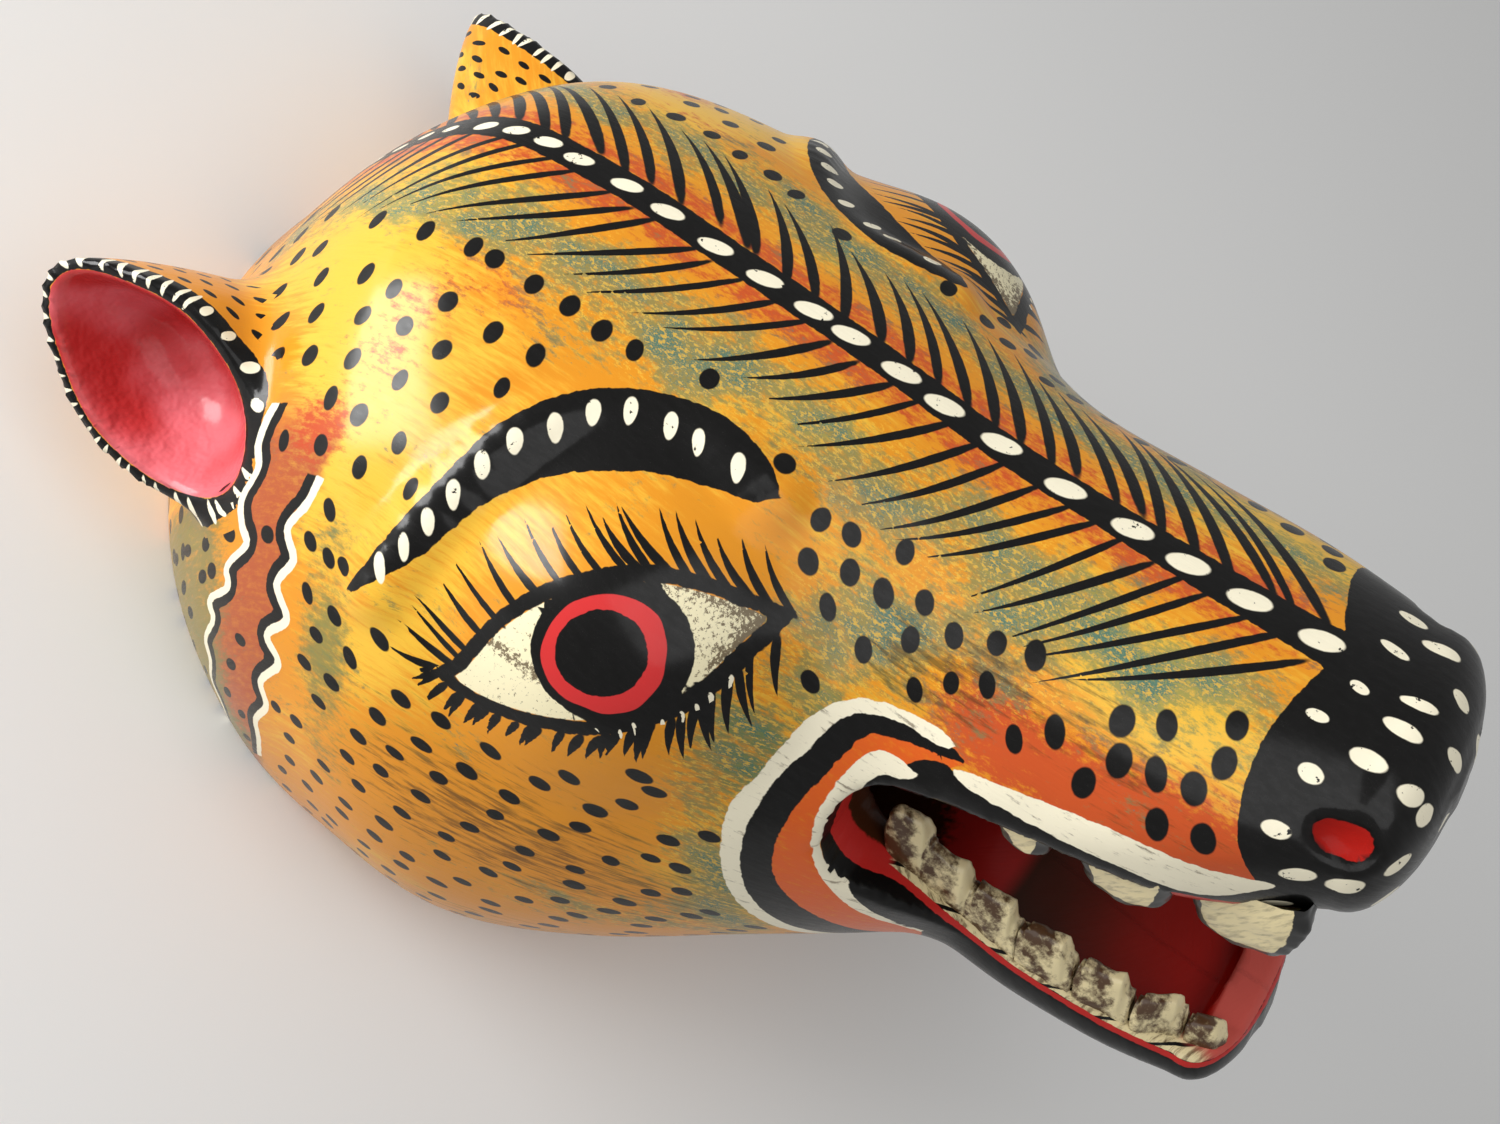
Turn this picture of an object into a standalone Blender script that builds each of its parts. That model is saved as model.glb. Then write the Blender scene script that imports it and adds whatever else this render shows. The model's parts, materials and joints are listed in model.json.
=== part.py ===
"""Tigre mask: a big cat's head carved in one block of wood and worn over the face.

The head is modelled in its own frame, x to the animal's left, y up through the crown and z out
through the nose. It then lies back on its slanted rim, nose up, on the plane z = 0.
"""

import math

import bmesh
import bpy
import numpy as np
from mathutils import Vector

MM = 0.001

# How the mask lies: the nose line leans this far off the vertical, and the rim is cut level there.
LEAN = math.radians(40)
RIM_BACK = 25.3 * MM
ORIGIN_SHIFT = 69.9 * MM

# Driving sizes of the carving, in millimetres.
WALL = 11
CREASE = math.radians(40)
NOSE_ROUND = 18
CAVITY_FRONT = 150
EYE_DOME = (88, 51, 121)
EYE_DOME_REACH = 50
EYE_DOME_HEIGHT = 15
BROW_REACH = 13
BROW_HEIGHT = 3.5

# The head's cross-sections: where each one stands on the nose line, and how wide and high it is there.
STATION = (-82, -76, -64, -46, -9, 28, 64, 101, 138, 175, 212, 248, 281)
HALF_WIDTH = (22, 44, 66, 86, 111, 122, 127, 117, 97, 75, 65, 56, 43)
TOP = (24, 42, 59, 75, 104, 120, 114, 100, 85, 68, 55, 44, 35)
BOTTOM = (-18, -40, -62, -82, -100, -109, -109, -102, -93, -84, -58, -32, -21)
MIDDLE = (2, 0, -3, -4, -4, -2, -3, -2, -2, -4, 6, 12, 14)
CROWN_FULLNESS = 1.96
JOWL_FULLNESS = 2.25
SKULL_SPACING = 10
FACE_SPACING = 7
MUZZLE_SPACING = 9.5
NOSE_ROUNDING = (0, 0.4, 0.7, 0.88, 0.97)

# The lower jaw's cross-sections, from inside the cheeks out to its front.
JAW_STATION = (96, 130, 160, 183, 207, 232, 250)
JAW_HALF_WIDTH = (78, 73, 65, 59, 53.5, 45.5, 38)
JAW_BOTTOM = (-90, -88, -84, -82, -92, -105, -112)
JAW_TIP = 266
JAW_FULLNESS = 2.1
JAW_TOP_FULLNESS = 6
JAW_ABOVE_GUM = 14
JAW_ROUNDING = (0.05, 0.45, 0.75, 0.92, 0.985)
TROUGH_INSET = 13
TROUGH_FLOOR = 13
TROUGH_OPEN_TOP = 18

# The mouth seen from the side, as (z, y): along the upper lip, then back along the lower gum.
LIP_LINE = ((176, 13), (196, 12), (211, 9), (232, 2), (254, -7), (276, -12), (320, -16))
GUM_LINE = ((176, -27), (183, -34), (194, -45), (207, -57), (220, -67), (236, -79), (250, -88), (320, -96))
MOUTH_CORNER = (168, -8)
MOUTH_CUT_REACH = 140

# The ears: the middle of the cup's mouth, its tip, the way it faces, and the root inside the head.
EAR_MIDDLE = (91, 80, -23)
EAR_TIP = (89, 104, -52)
EAR_FACING = (0.90, 0.37, 0.23)
EAR_ROOT = (46, 58, -14)
EAR_HALF_HEIGHT = 38
EAR_HALF_WIDTH = 26
EAR_ROOT_SHARE = 0.68
LEFT_EAR_DROP = 9
EAR_RIM = 4.5
EAR_DEPTH = 27
EAR_TIP_NARROWING = 0.22

# Teeth, as (z along the jaw, length of the tooth along the gum, how far it stands out of the gum).
UPPER_TEETH = ((211, 12, 8), (238, 21, 14), (268, 24, 15))
LOWER_TEETH = ((187, 13, 15), (201, 13, 17), (215, 14, 16), (230, 14, 15), (244, 12, 13), (256, 9, 9))
TOOTH_THICKNESS = 10
TOOTH_ROOT = 8
TOOTH_SIDES = 8
TOOTH_TAPER = ((0, 1.0), (0.62, 0.8), (1.0, 0.34))
TOOTH_CROWDING = 1.08
TOOTH_LEAN = 1.5
GUM_MARGIN = 1.5
LIP_MARGIN = 4
FRONT_TEETH_FROM = 250
FRONT_TEETH_INWARD = 6.75

# Rounded hollows, each as its middle and its radii.
PALATE = ((0, 0, 212), (44, 24, 54))
THROAT = ((0, -22, 158), (40, 27, 36))
NOSTRIL = ((41, 24, 284), (5, 8, 11))

RING_POINTS = 48
SMALL_RING_POINTS = 20
EAR_RING_POINTS = 24
BROW_SAMPLES = 25
PAINTED_YELLOW = (0.80, 0.50, 0.10, 1)


def curve_through(at, stations, heights):
    """A smooth curve through the given points, read at one or more places."""
    x = np.asarray(stations, float)
    y = np.asarray(heights, float)
    slope = np.gradient(y, x)
    at = np.clip(at, x[0], x[-1])
    i = np.clip(np.searchsorted(x, at) - 1, 0, len(x) - 2)
    step = x[i + 1] - x[i]
    t = (at - x[i]) / step
    return (
        (2 * t**3 - 3 * t**2 + 1) * y[i]
        + (t**3 - 2 * t**2 + t) * step * slope[i]
        + (3 * t**2 - 2 * t**3) * y[i + 1]
        + (t**3 - t**2) * step * slope[i + 1]
    )


def section(z, half_width, top, bottom, middle, crown_fullness, jowl_fullness):
    """One closed cross-section as a ring of points, starting at the animal's left side."""
    angle = np.arange(RING_POINTS) * 2 * math.pi / RING_POINTS
    across = np.cos(angle)
    upward = np.sin(angle)
    power = np.where(upward > 0, 2 / crown_fullness, 2 / jowl_fullness)
    reach = np.where(upward > 0, top - middle, middle - bottom)
    x = half_width * np.sign(across) * np.abs(across) ** power
    y = middle + reach * np.sign(upward) * np.abs(upward) ** power
    return np.stack([x, y, np.full(RING_POINTS, float(z))], axis=1)


def head_section(z, inset=0.0):
    """The head's cross-section at z, or the same drawn in by inset. The nose rounds off at its tip."""
    last = STATION[-1]
    q = np.clip((z - last) / NOSE_ROUND, 0, 1)
    shrink = math.sqrt(max(1 - q**2.2, 0))
    at = min(z, last)
    middle = curve_through(at, STATION, MIDDLE)
    return section(
        z,
        curve_through(at, STATION, HALF_WIDTH) * shrink - inset,
        middle + (curve_through(at, STATION, TOP) - middle) * shrink - inset,
        middle - (middle - curve_through(at, STATION, BOTTOM)) * shrink + inset,
        middle,
        CROWN_FULLNESS,
        JOWL_FULLNESS,
    )


def swollen(ring, z):
    """The ring pushed out over the eyeballs and along the brows."""
    outward = ring - np.array([0, curve_through(z, STATION, MIDDLE), z])
    outward /= np.linalg.norm(outward, axis=1)[:, None]
    side = np.abs(ring * [1, 0, 0]) + ring * [0, 1, 1]
    away = np.linalg.norm(side - np.array(EYE_DOME), axis=1) / EYE_DOME_REACH
    lift = EYE_DOME_HEIGHT * np.clip(1 - away**2, 0, 1) ** 2
    brow = np.array([brow_point(t) for t in np.linspace(0, 1, BROW_SAMPLES)])
    from_brow = np.linalg.norm(side[:, None] - brow[None], axis=2).min(axis=1) / BROW_REACH
    lift = lift + BROW_HEIGHT * np.clip(1 - from_brow**2, 0, 1) ** 2
    return ring + outward * lift[:, None]


def brow_point(t):
    """A point of the left brow's middle line, from its tail by the ear to its end by the nose."""
    tail, arch, end = (np.array(p, float) for p in ((111, 60, 62), (38, 132, 96), (49, 74, 138)))
    return (1 - t) ** 2 * tail + 2 * t * (1 - t) * arch + t**2 * end


def mesh_object(name, points, faces, cutter=False):
    """A closed mesh in the head's frame, its points given in millimetres."""
    mesh = bpy.data.meshes.new(name)
    mesh.from_pydata([tuple(p * MM) for p in np.asarray(points, float)], [], faces)
    shape = bmesh.new()
    shape.from_mesh(mesh)
    bmesh.ops.recalc_face_normals(shape, faces=shape.faces)
    shape.to_mesh(mesh)
    shape.free()
    obj = bpy.data.objects.new(name, mesh)
    bpy.context.scene.collection.objects.link(obj)
    obj.parent = HEAD_FRAME
    if cutter:
        obj.hide_render = True
        obj.display_type = "WIRE"
    return obj


def loft(name, rings, cutter=True):
    """Skins a row of equal rings and closes both ends."""
    count = len(rings[0])
    points = np.concatenate([*rings, [rings[0].mean(axis=0)], [rings[-1].mean(axis=0)]])
    first, last = len(points) - 2, len(points) - 1
    faces = []
    for r in range(len(rings) - 1):
        for i in range(count):
            j = (i + 1) % count
            a, b = r * count, (r + 1) * count
            faces.append((a + i, a + j, b + j, b + i))
    end = (len(rings) - 1) * count
    for i in range(count):
        j = (i + 1) % count
        faces.append((first, j, i))
        faces.append((last, end + i, end + j))
    return mesh_object(name, points, faces, cutter)


def head_block():
    """The whole head and muzzle as a closed form, with its eyeballs and brows."""
    skull = np.arange(STATION[0], 60, SKULL_SPACING)
    face = np.arange(60, 178, FACE_SPACING)
    muzzle = np.arange(178, STATION[-1], MUZZLE_SPACING)
    nose = STATION[-1] + NOSE_ROUND * np.array(NOSE_ROUNDING)
    stations = np.concatenate([skull, face, muzzle, nose])
    return loft("mask", [swollen(head_section(z), z) for z in stations], cutter=False)


def jaw_section(z, inset=0.0, floor=0.0):
    """The lower jaw's cross-section, open-topped in effect, because it runs up past the gum line."""
    last = JAW_STATION[-1]
    q = np.clip((z - last) / (JAW_TIP - inset * 0.8 - last), 0, 1)
    shrink = math.sqrt(max(1 - q**2.4, 0))
    at = min(z, last)
    gum = np.interp(z, [p[0] for p in GUM_LINE], [p[1] for p in GUM_LINE])
    bottom = curve_through(at, JAW_STATION, JAW_BOTTOM) + floor
    middle = max(gum - 6, bottom + 6)
    depth = (middle - bottom) * (0.6 + 0.4 * shrink)
    return section(
        z,
        (curve_through(at, JAW_STATION, JAW_HALF_WIDTH) - inset) * shrink,
        gum + JAW_ABOVE_GUM,
        middle - depth,
        middle,
        JAW_TOP_FULLNESS,
        JAW_FULLNESS,
    )


def lower_jaw():
    """The lower jaw as a solid tongue-shaped block, rounded at its front."""
    last = JAW_STATION[-1]
    stations = [*range(100, last, 12), *(last + (JAW_TIP - last) * np.array(JAW_ROUNDING))]
    return loft("lower_jaw", [jaw_section(z) for z in stations])


def jaw_trough():
    """What is scooped out of the lower jaw: its red floor, between two rows of teeth."""
    stations = [*range(152, 244, 10), 248, 252, 255]
    rings = [jaw_section(z, inset=TROUGH_INSET, floor=TROUGH_FLOOR) for z in stations]
    for ring in rings:
        upper = ring[:, 1] > np.median(ring[:, 1])
        ring[upper, 1] += TROUGH_OPEN_TOP
    return loft("jaw_trough", rings)


def mouth_gap():
    """The open mouth, a wedge that goes right through the head from side to side."""
    outline = [*LIP_LINE, *reversed(GUM_LINE), MOUTH_CORNER]
    points = [(side * MOUTH_CUT_REACH, y, z) for side in (-1, 1) for z, y in outline]
    n = len(outline)
    faces = [tuple(range(n)), tuple(reversed(range(n, 2 * n)))]
    faces += [(i, i + n, (i + 1) % n + n, (i + 1) % n) for i in range(n)]
    return mesh_object("mouth_gap", points, faces, cutter=True)


def ellipsoid(name, centre, radii, cutter=True):
    """A closed ellipsoid, made as a loft of rings along z."""
    rings = []
    for latitude in np.radians(np.linspace(-80, 80, 9)):
        turn = np.arange(SMALL_RING_POINTS) * 2 * math.pi / SMALL_RING_POINTS
        ring = np.stack([np.cos(turn), np.sin(turn), 0 * turn], axis=1) * math.cos(latitude)
        ring[:, 2] = math.sin(latitude)
        rings.append(ring * np.array(radii) + np.array(centre))
    return loft(name, rings, cutter)


def palate():
    """The roof of the mouth, hollowed between the upper teeth."""
    return ellipsoid("palate", PALATE[0], PALATE[1])


def throat():
    """The way from the mouth through to the face cavity."""
    return ellipsoid("throat", THROAT[0], THROAT[1])


def nostril(side):
    """A shallow dent on the side of the nose."""
    middle = (side * NOSTRIL[0][0], NOSTRIL[0][1], NOSTRIL[0][2])
    return ellipsoid("nostril", middle, NOSTRIL[1])


def face_cavity():
    """The hollow for the wearer's face, one wall's thickness inside the head."""
    straight = [*np.arange(-70, 126, 14)]
    rings = [head_section(z, inset=WALL) for z in straight]
    last = head_section(straight[-1], inset=WALL)
    centre = last.mean(axis=0)
    for turn in np.radians([30, 52, 70, 83]):
        ring = centre + (last - centre) * math.cos(turn)
        ring[:, 2] = straight[-1] + (CAVITY_FRONT - straight[-1]) * math.sin(turn)
        rings.append(ring)
    return loft("face_cavity", rings)


def ear_axes(side):
    """The middle of an ear's mouth, the way it faces, the way to its tip and the way across it."""
    facing = Vector((side * EAR_FACING[0], EAR_FACING[1], EAR_FACING[2])).normalized()
    drop = LEFT_EAR_DROP if side > 0 else 0
    middle = Vector((side * EAR_MIDDLE[0], EAR_MIDDLE[1] - drop, EAR_MIDDLE[2]))
    tipward = Vector((side * EAR_TIP[0], EAR_TIP[1] - drop, EAR_TIP[2])) - middle
    tipward = (tipward - facing * tipward.dot(facing)).normalized()
    return middle, facing, tipward, facing.cross(tipward)


def ear_ring(centre, tipward, sideways, half_height, half_width):
    """A leaf-shaped ring, drawn in towards the ear's tip."""
    ring = []
    for turn in np.arange(EAR_RING_POINTS) * 2 * math.pi / EAR_RING_POINTS:
        along = math.cos(turn)
        across = (1 - EAR_TIP_NARROWING * max(along, 0) ** 2) * math.sin(turn)
        ring.append(centre + tipward * half_height * along + sideways * half_width * across)
    return np.array([tuple(p) for p in ring])


def ear(side):
    """A cup-shaped ear, from its root inside the head out to its lip."""
    middle, facing, tipward, sideways = ear_axes(side)
    root = Vector((side * EAR_ROOT[0], EAR_ROOT[1], EAR_ROOT[2]))
    rings = []
    for t in (0, 0.25, 0.5, 0.72, 0.9, 1.0):
        swell = EAR_ROOT_SHARE + (1 - EAR_ROOT_SHARE) * math.sin(t * math.pi / 2)
        centre = root.lerp(middle, t)
        rings.append(ear_ring(centre, tipward, sideways, EAR_HALF_HEIGHT * swell, EAR_HALF_WIDTH * swell))
    return loft("ear", rings)


def ear_cup(side):
    """The hollow of an ear: deepest in the middle, open a little past its lip."""
    middle, facing, tipward, sideways = ear_axes(side)
    rings = []
    for t in (0.0, 0.12, 0.35, 0.65, 1.0):
        swell = 0.18 + 0.82 * math.sqrt(t)
        centre = middle - facing * (EAR_DEPTH * (1 - t))
        height = (EAR_HALF_HEIGHT - EAR_RIM) * swell
        width = (EAR_HALF_WIDTH - EAR_RIM) * swell
        rings.append(ear_ring(centre, tipward, sideways, height, width))
    rings.append(rings[-1] + np.array(facing * 6))
    return loft("ear_cup", rings)


def tooth(side, z, length, height, root_y, x, upward):
    """A blocky tooth with a worn point, its root sunk in the gum."""
    turn = (np.arange(TOOTH_SIDES) + 0.5) * 2 * math.pi / TOOTH_SIDES
    outline = np.stack([np.cos(turn) * TOOTH_THICKNESS / 2, 0 * turn, np.sin(turn) * length / 2], axis=1)
    rings = []
    for t, size in ((-TOOTH_ROOT / height, 1.0), *TOOTH_TAPER):
        middle = np.array([side * (x - TOOTH_LEAN * max(t, 0)), root_y + upward * height * t, z])
        rings.append(outline * size * TOOTH_CROWDING + middle)
    return rings


def teeth(name, rows, upward):
    """One row of teeth on each side, along the upper lip or the lower gum."""
    made = []
    for side in (-1, 1):
        for z, length, height in rows:
            if upward > 0:
                root = np.interp(z, [p[0] for p in GUM_LINE], [p[1] for p in GUM_LINE])
                x = np.interp(z, JAW_STATION, JAW_HALF_WIDTH) - TOOTH_THICKNESS / 2 - GUM_MARGIN
                if z > FRONT_TEETH_FROM:
                    x -= FRONT_TEETH_INWARD
            else:
                root = np.interp(z, [p[0] for p in LIP_LINE], [p[1] for p in LIP_LINE])
                x = np.interp(z, STATION, HALF_WIDTH) - TOOTH_THICKNESS / 2 - LIP_MARGIN
            made.append(loft(name, tooth(side, z, length, height, root, x, upward)))
    return made


def combine(target, operation, *tools):
    """Joins tools to the target or cuts them from it, one Boolean modifier each."""
    for tool in tools:
        modifier = target.modifiers.new(f"{operation.lower()} {tool.name}", "BOOLEAN")
        modifier.operation = operation
        modifier.object = tool
        modifier.solver = "EXACT"


def rim_cutter():
    """Everything below the surface that the mask lies on."""
    bpy.ops.mesh.primitive_cube_add(size=1, location=(0, 0, -0.1))
    obj = bpy.context.active_object
    obj.name = "rim_cutter"
    obj.scale = (0.7, 0.8, 0.2)
    obj.hide_render = True
    obj.display_type = "WIRE"
    return obj


def painted_wood():
    """Lacquered wood in the mask's overall colour."""
    material = bpy.data.materials.new("painted_wood")
    material.use_nodes = True
    shader = material.node_tree.nodes["Principled BSDF"]
    shader.inputs["Base Color"].default_value = PAINTED_YELLOW
    shader.inputs["Roughness"].default_value = 0.3
    shader.inputs["Metallic"].default_value = 0.0
    return material


for old in list(bpy.data.objects):
    bpy.data.objects.remove(old)

HEAD_FRAME = bpy.data.objects.new("head_frame", None)
bpy.context.scene.collection.objects.link(HEAD_FRAME)
HEAD_FRAME.rotation_euler.x = LEAN
HEAD_FRAME.location = (0, ORIGIN_SHIFT, RIM_BACK)

mask = head_block()
combine(mask, "UNION", lower_jaw(), ear(-1), ear(1))
combine(mask, "DIFFERENCE", mouth_gap(), palate(), jaw_trough(), throat(), face_cavity())
combine(mask, "DIFFERENCE", ear_cup(-1), ear_cup(1), nostril(-1), nostril(1), rim_cutter())
combine(mask, "UNION", *teeth("upper_tooth", UPPER_TEETH, -1), *teeth("lower_tooth", LOWER_TEETH, 1))
mask.data.materials.append(painted_wood())
mask.data.shade_smooth()
mask.data.set_sharp_from_angle(angle=CREASE)
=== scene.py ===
"""The looks of a tigre mask: a big cat's head carved in wood, painted by hand and lacquered."""

import json
import math

import bpy
import numpy as np
from mathutils import Matrix, Vector, noise

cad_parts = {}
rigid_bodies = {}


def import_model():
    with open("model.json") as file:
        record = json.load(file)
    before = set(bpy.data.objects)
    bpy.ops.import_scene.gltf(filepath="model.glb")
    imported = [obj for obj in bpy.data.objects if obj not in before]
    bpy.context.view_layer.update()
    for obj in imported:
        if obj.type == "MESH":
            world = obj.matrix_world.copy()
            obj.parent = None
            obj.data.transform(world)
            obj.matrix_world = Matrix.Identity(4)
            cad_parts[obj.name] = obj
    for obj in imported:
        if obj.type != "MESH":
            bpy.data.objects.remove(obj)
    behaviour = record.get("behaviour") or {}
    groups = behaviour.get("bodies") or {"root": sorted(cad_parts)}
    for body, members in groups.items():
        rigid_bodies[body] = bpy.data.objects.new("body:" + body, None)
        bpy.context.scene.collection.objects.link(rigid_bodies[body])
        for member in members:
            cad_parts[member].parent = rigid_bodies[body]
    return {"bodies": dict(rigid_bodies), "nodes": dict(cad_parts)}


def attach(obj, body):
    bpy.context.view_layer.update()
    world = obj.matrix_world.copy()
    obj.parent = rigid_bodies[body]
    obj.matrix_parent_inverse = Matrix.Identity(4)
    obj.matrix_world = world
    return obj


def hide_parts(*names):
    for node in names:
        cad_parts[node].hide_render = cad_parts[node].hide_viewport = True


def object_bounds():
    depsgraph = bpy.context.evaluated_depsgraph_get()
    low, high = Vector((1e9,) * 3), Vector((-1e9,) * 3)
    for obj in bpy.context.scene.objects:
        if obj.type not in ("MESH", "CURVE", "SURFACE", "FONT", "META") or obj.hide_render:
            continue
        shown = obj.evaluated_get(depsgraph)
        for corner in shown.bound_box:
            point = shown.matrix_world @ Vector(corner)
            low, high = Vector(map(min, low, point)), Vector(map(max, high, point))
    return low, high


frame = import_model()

kept = {*frame["nodes"].values(), *frame["bodies"].values()}
for extra in set(bpy.data.objects) - kept:
    bpy.data.objects.remove(extra)
cad_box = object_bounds()

# The carved block.
# One block of soft wood, cut with a gouge and sanded: skull, muzzle, lower jaw and cupped ears.
# It is hollowed from behind for the wearer's face, and lies on the flat rim of that hollow.

MM = 0.001
LEAN = math.radians(40)
SEAT = np.array([0, 69.9, 25.3])
TURN = np.array(
    [
        [1, 0, 0],
        [0, math.cos(LEAN), -math.sin(LEAN)],
        [0, math.sin(LEAN), math.cos(LEAN)],
    ]
)
GRID_STEP = 1.9
GRID_MARGIN = 3

WALL = 11
STATION = (-82, -76, -64, -46, -9, 28, 64, 101, 138, 175, 212, 248, 281)
HALF_WIDTH = (22, 44, 66, 86, 111, 122, 127, 117, 97, 75, 65, 56, 43)
TOP = (24, 42, 59, 75, 104, 120, 114, 100, 85, 68, 55, 44, 35)
BOTTOM = (-18, -40, -62, -82, -100, -109, -109, -102, -93, -84, -58, -32, -21)
MIDDLE = (2, 0, -3, -4, -4, -2, -3, -2, -2, -4, 6, 12, 14)
CROWN_FULLNESS = 1.96
JOWL_FULLNESS = 2.25
NOSE_ROUND = 18
CAVITY_REAR = -70
CAVITY_STRAIGHT = 126
CAVITY_FRONT = 150

JAW_STATION = (96, 130, 160, 183, 207, 232, 250)
JAW_HALF_WIDTH = (78, 73, 65, 59, 53.5, 45.5, 38)
JAW_BOTTOM = (-90, -88, -84, -82, -92, -105, -112)
JAW_TIP = 266
JAW_FULLNESS = 2.1
JAW_ABOVE_GUM = 14
TROUGH_INSET = 12
TROUGH_OPEN_TOP = 18

LIP_STATION = (165, 168, 171, 176, 186, 196, 211, 232, 254, 276, 320)
LIP_HEIGHT = (-8, 4, 9.5, 13, 13, 12, 9, 2, -7, -12, -16)
GUM_STATION = (165, 168, 171, 176, 183, 194, 207, 220, 236, 250, 320)
GUM_HEIGHT = (-8, -18, -23, -27, -34, -45, -57, -67, -79, -88, -96)

EYE_DOME = (88, 51, 121)
EYE_DOME_REACH = 50
EYE_DOME_HEIGHT = 15
BROW_MIDDLE = (70, 85, 95)
BROW_FAR = 75
BROW_CURVE = ((111, 60, 62), (38, 132, 96), (49, 74, 138))
BROW_REACH = 13
BROW_HEIGHT = 3.5

EAR_MIDDLE = (91, 80, -23)
EAR_TIP = (89, 104, -52)
EAR_FACING = (0.90, 0.37, 0.23)
EAR_ROOT = (46, 58, -14)
LEFT_EAR_DROP = 9
EAR_HALF_HEIGHT = 38
EAR_HALF_WIDTH = 26
EAR_RIM = 4.5
EAR_DEPTH = 24

PALATE = ((0, 0, 212), (44, 24, 54))
THROAT = ((0, -22, 158), (40, 27, 36))
NOSTRIL = ((41, 24, 284), (6, 8, 11))
CUT_REACH = 1.8
JAW_START = 100
JAW_BLEND = 7
EAR_BLEND = 9
CRISP_EDGE = 2.5
SOFT_EDGE = 5


def to_world(points):
    return points @ TURN.T + SEAT


def to_head(points):
    return (points - SEAT) @ TURN


def curve_through(at, stations, heights):
    """A smooth curve through the given points, read at many places."""
    x = np.asarray(stations, float)
    y = np.asarray(heights, float)
    slope = np.gradient(y, x)
    at = np.clip(at, x[0], x[-1])
    i = np.clip(np.searchsorted(x, at) - 1, 0, len(x) - 2)
    step = x[i + 1] - x[i]
    t = (at - x[i]) / step
    return (
        (2 * t**3 - 3 * t**2 + 1) * y[i]
        + (t**3 - 2 * t**2 + t) * step * slope[i]
        + (3 * t**2 - 2 * t**3) * y[i + 1]
        + (t**3 - t**2) * step * slope[i + 1]
    )


def blended(a, b, reach):
    """The lower of two distances, with the meeting line filled over that reach."""
    h = np.clip(0.5 + 0.5 * (b - a) / reach, 0, 1)
    return b + (a - b) * h - reach * h * (1 - h)


def carved(block, tool, reach):
    """The block with the tool's shape cut out, its edge worn over that reach."""
    return -blended(-block, tool, reach)


def section_distance(p, half_width, top, bottom, middle, crown, jowl):
    """How far points lie outside a cross-section, measured across the nose line."""
    up = p[:, 1] - middle
    reach = np.where(up > 0, top - middle, middle - bottom)
    power = np.where(up > 0, crown, jowl)
    across = (np.abs(p[:, 0]) / half_width) ** power
    share = (across + (np.abs(up) / reach) ** power) ** (1 / power)
    radius = np.hypot(p[:, 0], up)
    return radius - radius / np.maximum(share, 1e-4)


def skull(p, inset=0.0):
    """The head and muzzle without eyes or brows, or the hollow one wall inside it."""
    z = p[:, 2]
    if inset:
        t = np.clip((z - CAVITY_STRAIGHT) / (CAVITY_FRONT - CAVITY_STRAIGHT), 0, 0.98)
        shrink = np.sqrt(1 - t**2)
        at = np.minimum(z, CAVITY_STRAIGHT)
    else:
        t = np.clip((z - STATION[-1]) / NOSE_ROUND, 0, 0.98)
        shrink = np.sqrt(1 - t**2.2)
        at = np.minimum(z, STATION[-1])
    middle = curve_through(at, STATION, MIDDLE)
    width = (curve_through(at, STATION, HALF_WIDTH) - inset) * shrink
    top = middle + (curve_through(at, STATION, TOP) - middle - inset) * shrink
    bottom = middle - (middle - curve_through(at, STATION, BOTTOM) - inset) * shrink
    d = section_distance(p, width, top, bottom, middle, CROWN_FULLNESS, JOWL_FULLNESS)
    front = CAVITY_FRONT if inset else STATION[-1] + NOSE_ROUND
    return np.maximum(d, z - front)


def mirrored(p):
    """Points of both sides folded onto the animal's left."""
    return p * [0, 1, 1] + np.abs(p) * [1, 0, 0]


def face_lift(p):
    """How far the eyeballs and brows stand out of the skull."""
    side = mirrored(p)
    away = np.linalg.norm(side - EYE_DOME, axis=1) / EYE_DOME_REACH
    lift = EYE_DOME_HEIGHT * np.clip(1 - away**2, 0, 1) ** 2
    tail, arch, end = np.array(BROW_CURVE, float)
    near = np.where(np.linalg.norm(side - BROW_MIDDLE, axis=1) < BROW_FAR)[0]
    t = np.linspace(0, 1, 25)[:, None]
    brow = (1 - t) ** 2 * tail + 2 * t * (1 - t) * arch + t**2 * end
    from_brow = np.full(len(near), 1e3)
    for point in brow:
        from_brow = np.minimum(from_brow, np.linalg.norm(side[near] - point, axis=1))
    lift[near] += BROW_HEIGHT * np.clip(1 - (from_brow / BROW_REACH) ** 2, 0, 1) ** 2
    return lift


def jaw(p, inset=0.0, floor=0.0):
    """The lower jaw, open upwards, or the trough scooped out of it."""
    z = p[:, 2]
    last = JAW_STATION[-1]
    tip = JAW_TIP - inset
    t = np.clip((z - last) / (tip - last), 0, 0.985)
    shrink = np.sqrt(1 - t**2.4)
    at = np.minimum(z, last)
    gum = curve_through(z, GUM_STATION, GUM_HEIGHT)
    bottom = curve_through(at, JAW_STATION, JAW_BOTTOM) + floor
    middle = np.maximum(gum - 6, bottom + 6)
    depth = (middle - bottom) * (0.6 + 0.4 * shrink)
    width = (curve_through(at, JAW_STATION, JAW_HALF_WIDTH) - inset) * shrink
    top = gum + 400
    d = section_distance(p, width, top, middle - depth, middle, 6, JAW_FULLNESS)
    above = TROUGH_OPEN_TOP if inset else JAW_ABOVE_GUM
    return np.maximum(d, np.maximum(z - tip, p[:, 1] - gum - above))


def mouth_gap(p):
    """The open mouth, a wedge from side to side between the lip and the gum."""
    lip = curve_through(p[:, 2], LIP_STATION, LIP_HEIGHT)
    gum = curve_through(p[:, 2], GUM_STATION, GUM_HEIGHT)
    inside = np.maximum(p[:, 1] - lip, gum - p[:, 1]) * 0.85
    return np.maximum(inside, LIP_STATION[0] - p[:, 2])


def ellipsoid(p, shape):
    centre, radii = np.array(shape, float)
    share = np.linalg.norm((p - centre) / radii, axis=1)
    steep = np.linalg.norm((p - centre) / radii**2, axis=1)
    return share * (share - 1) / np.maximum(steep, 1e-6)


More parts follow.
